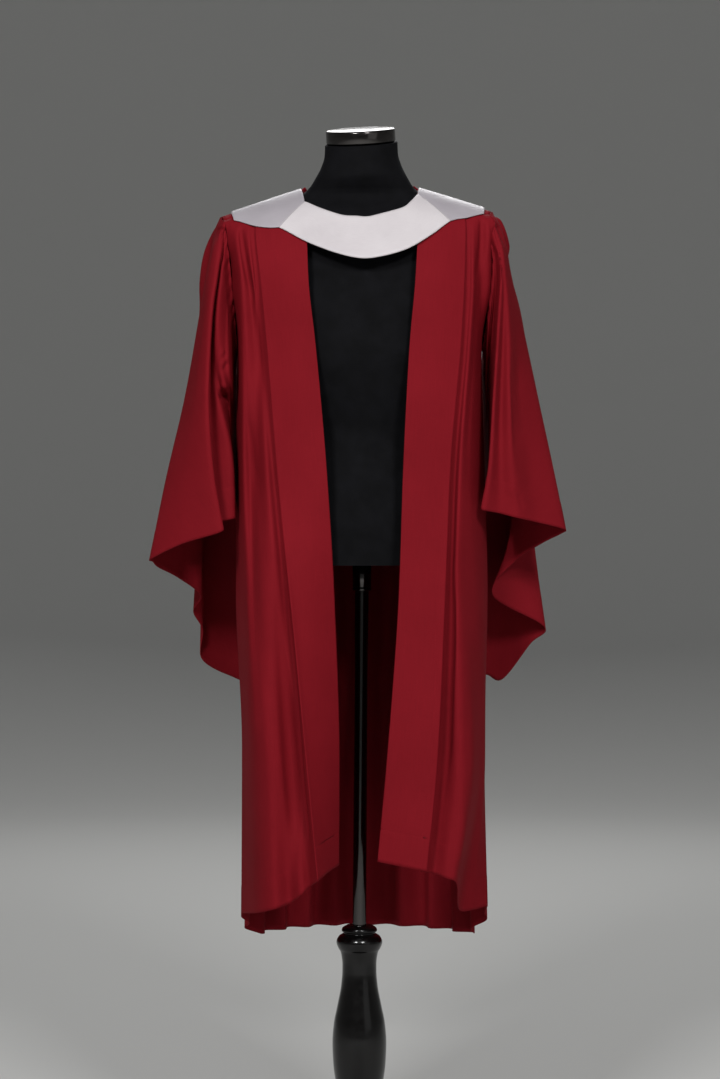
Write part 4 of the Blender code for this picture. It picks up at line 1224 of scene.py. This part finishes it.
@dataclass
class Garment:
    """The crimson gown: yoke, back, strips and fronts, and sleeves."""

    cloth: Cloth = field(default_factory=Cloth)
    hemmed: Cloth = field(default_factory=lambda: Cloth(hemmed=True))
    rows: int = 190
    front_columns: int = 96
    band_columns: int = 34
    back_columns: int = 300
    back_rows: int = 124
    sleeve_columns: int = 210
    sleeve_rows: int = 150
    flutes: float = 11.0
    flute_wander: float = 0.35
    back_hem: float = 392.0
    head_crowding: float = 1.3

    def build(self) -> None:
        """Build and dress each piece of the gown."""
        plain, hemmed = self.cloth.make(), self.hemmed.make()
        self.add_yoke(plain)
        self.add_back(hemmed)
        for side in Side:
            self.add_band(side, plain)
            self.add_front(side, hemmed)
            self.add_sleeve(side, hemmed)

    def yoke_sections(self) -> list[NeckSection]:
        """The yoke's sections, from the left front seam round the back to the right one."""
        return [*YOKE_LEFT, YOKE_CENTRE, *reversed(YOKE_RIGHT)]

    def add_yoke(self, material: bpy.types.Material) -> None:
        """Make the yoke that carries the fronts, the back and the sleeve heads."""
        sheet = Sheet("gown_yoke", neck_grid(self.yoke_sections(), 180, 24, 0.0), turned=True)
        dress(sheet, material)

    def back_wave(self, shares: Points) -> Points:
        """Work out the back's flutes across it, uneven and still at the side seams.

        Args:
            shares: places from 0 to 1 across the back.

        Returns:
            The height at each place, from -1 to 1.
        """
        wander = self.flute_wander * np.sin(2 * math.pi * 2.5 * shares + 0.8)
        fade = np.minimum(1.0, np.minimum(9 * shares, 9 * (1 - shares)))
        return fade * np.sin(2 * math.pi * self.flutes * shares + wander)

    def add_back(self, material: bpy.types.Material) -> None:
        """Make the gathered back, hung from the yoke's lower edge.

        Args:
            material: its finish.
        """
        edge = neck_grid(self.yoke_sections(), 180, 5, 0.0)[-1]
        corner = min(YOKE_LEFT[2].outer[1], YOKE_RIGHT[2].outer[1])
        behind = edge[edge[:, 1] > corner * MM - 0.001]
        shares = np.linspace(0, 1, self.back_columns)
        angle = math.pi * shares
        wave = self.back_wave(shares)
        lines = [resample(behind, shares)]
        for level in BACK_LEVELS:
            half = np.where(shares < 0.5, level.left, level.right)
            height = np.full_like(shares, level.height)
            if level is BACK_LEVELS[-1]:
                side = np.where(shares < 0.5, FRONT_LEFT[-1].hem[2], FRONT_RIGHT[-1].hem[2])
                height = side + (self.back_hem - side) * np.minimum(1.0, 2.2 * np.sin(angle))
            x = -half * np.cos(angle) - level.flute * wave * np.cos(angle)
            y = level.side + (level.centre - level.side) * np.sin(angle) + level.flute * wave * np.sin(angle)
            lines.append(np.stack([x, y, height], axis=-1) * MM)
        levels = np.stack(lines)
        down = rows_down(self.back_rows, 1.15)
        grid = np.stack([resample(levels[:, column], down, Hang.HUNG)
                         for column in range(self.back_columns)], axis=1)
        sheet = Sheet("gown_back", grid, turned=True)
        sheet.press(ripples=BACK_RIPPLES)
        sheet.hem()
        dress(sheet, material)

    def add_band(self, side: Side, material: bpy.types.Material) -> None:
        """Make the flat strip beside the opening, out to its pressed pleat.

        Args:
            side: the side of the gown.
            material: its finish.
        """
        table = BAND_LEFT if side is Side.LEFT else BAND_RIGHT
        creases = BAND_LEFT_CREASES if side is Side.LEFT else BAND_RIGHT_CREASES
        grid = loft([fold.line() for fold in table], self.band_columns, rows_down(self.rows, 1.05))
        sheet = Sheet(f"band_{side.label}", grid, turned=side is Side.LEFT)
        sheet.press(creases)
        dress(sheet, material)

    def tuck_line(self, table: Sequence[Fold], side: Side) -> Points:
        """Edge of a front behind its strip's pleat: in from the crest and behind the strip.

        Args:
            table: the strip's fold lines.
            side: the side of the gown.

        Returns:
            The edge, from the seam down.
        """
        crest, middle = table[-1].line(), table[-2].line()
        inward = (middle - crest) * (1.0, 1.0, 0.0)
        inward /= np.linalg.norm(inward, axis=1, keepdims=True)
        behind = np.stack([inward[:, 1], -inward[:, 0], np.zeros(len(inward))], axis=1) * side.value
        line = crest + inward * TUCK_WIDTH + behind * TUCK_DEPTH
        line[:2] = shoulder(line[:2] - (0.0, TUCK_DEPTH, 0.0), -TUCK_DEPTH)
        return line

    def add_front(self, side: Side, material: bpy.types.Material) -> None:
        """Make the front from behind its pleat to the armhole and the side seam.

        Args:
            side: the side of the gown.
            material: its finish.
        """
        band = BAND_LEFT if side is Side.LEFT else BAND_RIGHT
        table = FRONT_LEFT if side is Side.LEFT else FRONT_RIGHT
        creases = FRONT_LEFT_CREASES if side is Side.LEFT else FRONT_RIGHT_CREASES
        lines = [self.tuck_line(band, side), table[0].line(-PLEAT_STEP)]
        lines.extend(fold.line() for fold in table[1:])
        sheet = Sheet(f"front_{side.label}", loft(lines, self.front_columns, rows_down(self.rows, 1.1)),
                      turned=side is Side.LEFT)
        sheet.press(creases)
        sheet.hem()
        dress(sheet, material)

    def armhole_starts(self, side: Side, shares: Points) -> Points:
        """Points of the armhole's edge, from the shoulder's top round by the front.

        Args:
            side: the side of the gown.
            shares: the share of the way round of each point.

        Returns:
            The points, in metres, just clear of the edge.
        """
        edge = (FRONT_LEFT if side is Side.LEFT else FRONT_RIGHT)[-1].line()
        level = BACK_LEVELS[0]
        half = level.left if side is Side.LEFT else level.right
        sign = side.value
        yoke = YOKE_LEFT if side is Side.LEFT else YOKE_RIGHT
        top, behind = yoke[1].outer, yoke[2].outer
        corners = [raised(top[0] * MM, top[1] * MM), edge[0], edge[1], edge[2], edge[3],
                   np.array([sign * half, level.side, level.height]) * MM,
                   raised(behind[0] * MM, behind[1] * MM)]
        ring = resample_ring(np.array(corners), 400)
        return spread(np.concatenate([ring, ring[:1]]), shares) + (sign * ARMHOLE_CLEARANCE, 0.0, 0.0)

    def add_sleeve(self, side: Side, material: bpy.types.Material) -> None:
        """Make a wide sleeve: a tube from the armhole, folded in plan, with an open slanting hem.

        Args:
            side: the side of the gown.
            material: its finish.
        """
        table = SLEEVE_LEFT if side is Side.LEFT else SLEEVE_RIGHT
        creases = SLEEVE_LEFT_CREASES if side is Side.LEFT else SLEEVE_RIGHT_CREASES
        down = rows_down(self.sleeve_rows, 0.56) ** self.head_crowding
        lines = []
        starts = self.armhole_starts(side, np.array([fold.start for fold in table]) / 100)
        for start, fold in zip(starts, table):
            lines.append(resample(np.concatenate([[start], np.array(fold[2:]) * MM]), down))
        rows = np.stack(lines, axis=1)
        grid = np.stack([resample_ring(row, self.sleeve_columns) for row in rows])
        sheet = Sheet(f"sleeve_{side.label}", grid, turned=side is Side.RIGHT, closed=True)
        sheet.press(creases, SLEEVE_RIPPLES)
        sheet.hem()
        dress(sheet, material)


@dataclass
class Collar:
    """The satin collar: its front, two mitred shoulder pieces and the plain red piece behind."""

    satin: Satin = field(default_factory=Satin)
    # The shoulder pieces' satin is painted darker than the front's: painted shade, because their tops face
    # up, away from the lights.
    shaded_satin: Satin = Satin("satin_painted_shade", (158, 152, 158), (178, 172, 178))
    cloth: Cloth = field(default_factory=Cloth)

    def build(self) -> None:
        """Build and dress the collar's pieces."""
        # across is the shoulder pieces' satin, painted darker with painted shade.
        satin, across = self.satin.make(), self.shaded_satin.make()
        front = Sheet("collar_front", neck_grid(COLLAR_FRONT, 120, 22, COLLAR_LIFT), wall=COLLAR_WALL)
        dress(front, satin)
        for side, table in ((Side.LEFT, COLLAR_SHOULDER_LEFT), (Side.RIGHT, COLLAR_SHOULDER_RIGHT)):
            lines = np.stack([self.shoulder_line(row) for row in table])
            even = np.linspace(0, 1, 44)
            plan = np.stack([resample(lines[:, place], even) for place in range(lines.shape[1])])
            sheet = Sheet(f"collar_shoulder_{side.label}", shoulder(plan, COLLAR_LIFT),
                          turned=side is Side.RIGHT, wall=COLLAR_WALL)
            dress(sheet, across)
        back = Sheet("collar_back", neck_grid(COLLAR_BACK, 120, 18, COLLAR_LIFT, COLLAR_STAND), turned=True,
                     wall=COLLAR_WALL)
        dress(back, self.cloth.make())

    def shoulder_line(self, row: CapSection) -> Points:
        """Run one section of a shoulder piece straight along the mitre, then curved over the ridge.

        Args:
            row: the section.

        Returns:
            Its points in plan, in metres.
        """
        front, bend, ridge, back = (np.array([*cell, 0.0]) * MM for cell in row[1:])
        straight = front + (bend - front) * np.linspace(0, 1, 16, endpoint=False)[:, None]
        return np.concatenate([straight, resample(np.array([bend, ridge, back]), np.linspace(0, 1, 26))])


def turned_piece(name: str, profile: Sequence[Turn], steps: int = 96) -> bpy.types.Object:
    """Turn a solid as on a lathe: a circle, extruded and scaled along a profile.

    Args:
        name: the piece's name.
        profile: the profile from its top to its bottom, with the axis at each end.
        steps: how many sides it has.

    Returns:
        The finished object.
    """
    rings = [row for row in reversed(profile) if row.radius > 0]
    foot = rings[0]
    bpy.ops.object.select_all(action="DESELECT")
    bpy.ops.mesh.primitive_circle_add(vertices=steps, radius=foot.radius * MM, fill_type="NGON",
                                      location=(0.0, 0.0, foot.height * MM))
    item = bpy.context.object
    item.name = item.data.name = name
    bpy.ops.object.transform_apply(location=True, rotation=True, scale=True)
    bpy.ops.object.mode_set(mode="EDIT")
    bpy.ops.mesh.select_all(action="SELECT")
    for below, row in zip(rings, rings[1:]):
        rise, size = (row.height - below.height) * MM, row.radius / below.radius
        bpy.ops.mesh.extrude_region_move(TRANSFORM_OT_translate={"value": (0.0, 0.0, rise)})
        bpy.ops.transform.resize(value=(size, size, 1.0), center_override=(0.0, 0.0, row.height * MM))
    bpy.ops.mesh.select_all(action="SELECT")
    bpy.ops.mesh.normals_make_consistent(inside=False)
    bpy.ops.object.mode_set(mode="OBJECT")
    bpy.ops.object.shade_smooth_by_angle(angle=math.radians(50.0))
    return item


def fine_profile(profile: Sequence[Turn], steps: int = 5) -> list[Turn]:
    """Smooth a coarse profile into small steps that keep its places.

    Args:
        profile: the profile, with the axis at each end.
        steps: how many steps each place gets.

    Returns:
        The finer profile.
    """
    points = np.array([(row.radius, 0.0, row.height) for row in profile if row.radius > 0])
    fine = curve_at(points, np.linspace(0, len(points) - 1, steps * len(points)), Hang.HUNG)
    return [Turn(0, fine[0][2]), *(Turn(point[0], point[2]) for point in fine), Turn(0, fine[-1][2])]


@dataclass
class DressForm:
    """The limbless torso in jersey, with its chrome neck cap."""

    jersey: Jersey = field(default_factory=Jersey)
    chrome: Chrome = field(default_factory=Chrome)
    centre: float = 0.003
    squareness: float = 2.35
    neck_pitch: float = math.radians(13.0)
    neck_roll: float = math.radians(2.9)
    shoulder_start: float = 1.460
    shoulder_rise: float = 0.05
    neck_start: float = 1.602
    neck_blend: float = 0.03
    cap_radius: float = 0.0556
    cap_height: float = 0.0224
    cap_centre: tuple[float, float, float] = (0.002, 0.0, 1.6829)
    around: int = 128
    down: int = 110

    def build(self) -> None:
        """Build and dress the torso and the cap."""
        self.add_torso()
        self.add_cap()

    def ring(self, level: Sequence[float]) -> Points:
        """One section of the torso; its shoulders lean with the gown's, and its neck tips with the cap.

        Args:
            level: the section's height, half width, front and back depth, in millimetres.

        Returns:
            The section's points, in metres.
        """
        height, half, front, back = (value * MM for value in level)
        top = FORM_LEVELS[-1].height * MM
        lean = np.clip((height - self.shoulder_start) / self.shoulder_rise, 0, 1) * RIDGE_LEAN
        tip = np.clip((height - self.neck_start) / (top - self.neck_start), 0, 1)
        lean = lean + tip * (math.tan(self.neck_roll) - RIDGE_LEAN)
        blend = smooth_step(np.array(height), self.neck_start - self.neck_blend, self.neck_start)
        power = 2.0 / self.squareness + (1.0 - 2.0 / self.squareness) * float(blend)
        angle = 2 * math.pi * np.arange(self.around) / self.around
        across = np.sign(np.cos(angle)) * np.abs(np.cos(angle)) ** power
        along = np.sign(np.sin(angle)) * np.abs(np.sin(angle)) ** power
        x = half * across
        y = np.where(along > 0, back, -front) * along
        z = height + tip * y * math.tan(self.neck_pitch) + lean * x
        return np.stack([x + self.centre, y, z], axis=-1)

    def add_torso(self) -> None:
        """Make the torso, one smooth closed form."""
        table = np.array([tuple(level) for level in FORM_LEVELS], float)
        places = np.linspace(0, len(table) - 1, self.down)
        levels = np.concatenate([curve_at(table[:, :3], places, Hang.HUNG),
                                 curve_at(table[:, 1:], places, Hang.HUNG)[:, 2:]], axis=1)
        rings = np.stack([self.ring(level) for level in levels])
        sheet = Sheet("form_torso_jersey", rings, turned=True, closed=True)
        index = np.arange(self.down * self.around).reshape(self.down, self.around)
        beside = np.roll(index, -1, axis=1)
        faces = np.stack([index[:-1], beside[:-1], beside[1:], index[1:]], axis=-1).reshape(-1, 4)
        mesh = bpy.data.meshes.new(sheet.name)
        mesh.from_pydata(rings.reshape(-1, 3).tolist(), [], faces.tolist())
        sheet.add_map(mesh, "cloth", sheet.across(), sheet.down(), faces)
        item = bpy.data.objects.new(sheet.name, mesh)
        bpy.context.scene.collection.objects.link(item)
        choose(item)
        bpy.ops.object.mode_set(mode="EDIT")
        bpy.ops.mesh.select_all(action="DESELECT")
        bpy.ops.mesh.select_mode(type="EDGE")
        bpy.ops.mesh.select_non_manifold()
        bpy.ops.mesh.edge_face_add()
        bpy.ops.mesh.select_all(action="SELECT")
        bpy.ops.mesh.normals_make_consistent(inside=False)
        bpy.ops.object.mode_set(mode="OBJECT")
        bpy.ops.object.shade_smooth_by_angle(angle=math.radians(50.0))
        item.data.materials.append(self.jersey.make())
        finish_hard(item, "form_torso")

    def add_cap(self) -> None:
        """Make the neck cap with its rounded rims, tipped forward as the neck is."""
        radius, half = self.cap_radius / MM, self.cap_height / MM / 2
        profile = [Turn(0, half), Turn(radius - 6, half), Turn(radius - 2.5, half - 0.4),
                   Turn(radius - 0.7, half - 1.4), Turn(radius, half - 3.2), Turn(radius, 3.2 - half),
                   Turn(radius - 0.7, 1.4 - half), Turn(radius - 2.5, -half), Turn(0, -half)]
        cap = turned_piece("neck_cap_chrome", profile)
        cap.location = self.cap_centre
        cap.rotation_euler = (self.neck_pitch, -self.neck_roll, 0.0)
        choose(cap)
        bpy.ops.object.transform_apply(location=True, rotation=True, scale=True)
        cap.data.materials.append(self.chrome.make())
        finish_hard(cap, "neck_cap")


def finish_hard(item: bpy.types.Object, node: str) -> None:
    """Let a piece of the form or stand ride and stand for its node.

    Args:
        item: the piece.
        node: the node that it stands for.
    """
    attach(item, BODY)
    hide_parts(node)
    LOG.info("%s: %d faces", item.name, len(item.data.polygons))


@dataclass
class Stand:
    """The chrome pole in its socket, the turned post and the round base."""

    chrome: Chrome = field(default_factory=Chrome)
    paint: GlossPaint = field(default_factory=GlossPaint)
    pole_radius: float = 11.0
    pole_foot: float = 420.3
    pole_top: float = 954.7
    pole_lean: float = 0.004
    socket_radius: float = 15.0
    socket_top: float = 995.7

    def build(self) -> None:
        """Build and dress the stand's pieces."""
        chrome, paint = self.chrome.make(), self.paint.make()
        pole = turned_piece("pole_chrome", [
            Turn(0, self.pole_top), Turn(self.pole_radius, self.pole_top),
            Turn(self.pole_radius, self.pole_foot), Turn(0, self.pole_foot)], 64)
        self.lean(pole)
        pole.data.materials.append(chrome)
        finish_hard(pole, "pole")
        r, top, foot = self.socket_radius, self.socket_top, self.pole_top + 0.3
        socket = turned_piece("pole_socket_chrome", [
            Turn(0, top), Turn(r - 1, top), Turn(r, top - 1), Turn(r, foot + 7), Turn(r - 0.8, foot + 6.2),
            Turn(r - 0.8, foot + 5.4), Turn(r, foot + 4.6), Turn(r, foot + 1), Turn(r - 1, foot),
            Turn(0, foot)], 64)
        socket.location.x = self.pole_lean
        choose(socket)
        bpy.ops.object.transform_apply(location=True, rotation=True, scale=True)
        socket.data.materials.append(chrome)
        finish_hard(socket, "pole_socket")
        post = turned_piece("stand_post_paint", fine_profile(POST_PROFILE))
        post.data.materials.append(paint)
        finish_hard(post, "stand_post")
        base = turned_piece("stand_base_paint", fine_profile(BASE_PROFILE))
        base.data.materials.append(paint)
        finish_hard(base, "stand_base")

    def lean(self, pole: bpy.types.Object) -> None:
        """Lean the pole by the width that its top stands out.

        Args:
            pole: the upright pole.
        """
        choose(pole)
        bpy.ops.object.mode_set(mode="EDIT")
        edit = bmesh.from_edit_mesh(pole.data)
        for vertex in edit.verts:
            vertex.select_set(vertex.co.z > (self.pole_top + self.pole_foot) / 2 * MM)
        edit.select_flush(True)
        bmesh.update_edit_mesh(pole.data)
        bpy.ops.transform.translate(value=(self.pole_lean, 0.0, 0.0))
        bpy.ops.object.mode_set(mode="OBJECT")


class SoftLight(NamedTuple):
    """A square light: its place and width in metres, and its power in watts."""

    name: str
    place: tuple
    size: float
    power: float


LIGHTS = (
    SoftLight("key", (-1.3, -3.7, 3.3), 0.7, 96.0),
    SoftLight("second_key", (1.3, -3.7, 3.3), 0.7, 80.0),
    SoftLight("fill", (2.8, -3.4, 1.5), 2.4, 6.0),
    SoftLight("top", (0.0, -0.6, 5.0), 3.0, 8.0),
    SoftLight("back", (0.2, 4.6, 4.6), 2.6, 120.0),
)


@dataclass
class Studio:
    """The pale seamless paper, the soft lights and the camera of the photograph's angle."""

    paper: StudioPaper = field(default_factory=StudioPaper)
    lights: tuple[SoftLight, ...] = LIGHTS
    aim: tuple[float, float, float] = (0.0, 0.0, 1.15)
    room_colour: tuple[int, int, int] = (226, 228, 230)
    room_strength: float = 0.1
    eye: tuple[float, float, float] = (0.001, -4.08, 1.037)
    lens: float = 85.0
    flat: float = 5.6
    bend: float = 4.4
    bend_steps: int = 16
    rise: float = 6.4

    def build(self) -> None:
        """Set up the stage, the lights and the camera."""
        self.add_paper()
        for light in self.lights:
            self.add_light(light)
        self.add_world()
        self.add_camera()

    def add_paper(self) -> None:
        """Make the floor, which sweeps up all round into the backdrop."""
        angles = [math.pi / 2 * step / self.bend_steps for step in range(self.bend_steps + 1)]
        turns = [Turn((self.flat + self.bend * math.sin(angle)) / MM, self.bend * (1 - math.cos(angle)) / MM)
                 for angle in angles]
        bpy.ops.object.select_all(action="DESELECT")
        bpy.ops.mesh.primitive_circle_add(vertices=128, radius=turns[0].radius * MM, fill_type="NGON")
        paper = bpy.context.object
        paper.name = paper.data.name = "studio_paper"
        bpy.ops.object.mode_set(mode="EDIT")
        bpy.ops.mesh.select_all(action="DESELECT")
        bpy.ops.mesh.select_mode(type="EDGE")
        bpy.ops.mesh.select_non_manifold()
        for below, row in zip(turns, turns[1:] + [Turn(turns[-1].radius, self.rise / MM)]):
            size = row.radius / below.radius
            bpy.ops.mesh.extrude_edges_move(
                TRANSFORM_OT_translate={"value": (0.0, 0.0, (row.height - below.height) * MM)})
            bpy.ops.transform.resize(value=(size, size, 1.0), center_override=(0.0, 0.0, row.height * MM))
        bpy.ops.mesh.select_all(action="SELECT")
        bpy.ops.mesh.normals_make_consistent(inside=True)
        bpy.ops.object.mode_set(mode="OBJECT")
        bpy.ops.object.shade_smooth_by_angle(angle=math.radians(40.0))
        paper.data.materials.append(self.paper.make())

    def add_light(self, light: SoftLight) -> None:
        """Hang a soft square light that faces the gown's chest.

        Args:
            light: the light's place, size and power.
        """
        data = bpy.data.lights.new(light.name, "AREA")
        data.shape = "SQUARE"
        data.size = light.size
        data.energy = light.power
        lamp = bpy.data.objects.new(light.name, data)
        lamp.location = light.place
        aim = Vector(self.aim) - Vector(light.place)
        lamp.rotation_euler = aim.to_track_quat("-Z", "Y").to_euler()
        bpy.context.scene.collection.objects.link(lamp)

    def add_world(self) -> None:
        """Fill the room with a faint pale light."""
        world = bpy.data.worlds.new("room")
        world.use_nodes = True
        background = world.node_tree.nodes["Background"]
        background.inputs["Color"].default_value = linear(self.room_colour)
        background.inputs["Strength"].default_value = self.room_strength
        bpy.context.scene.world = world
        bpy.context.scene.view_settings.view_transform = "Standard"

    def add_camera(self) -> None:
        """Stand the camera where the photograph was taken from, level and facing the gown."""
        data = bpy.data.cameras.new("photograph")
        data.lens = self.lens
        data.sensor_width = 36.0
        camera = bpy.data.objects.new("photograph", data)
        camera.location = self.eye
        camera.rotation_euler = (math.pi / 2, 0.0, 0.0)
        bpy.context.scene.collection.objects.link(camera)
        bpy.context.scene.camera = camera


def main() -> None:
    """Build every sub-assembly in order."""
    logging.basicConfig(level=logging.INFO, format="%(name)s %(message)s")
    for assembly in (Studio(), DressForm(), Stand(), Garment(), Collar()):
        LOG.info("building %s", type(assembly).__name__)
        assembly.build()


if __name__ == "__main__":
    main()
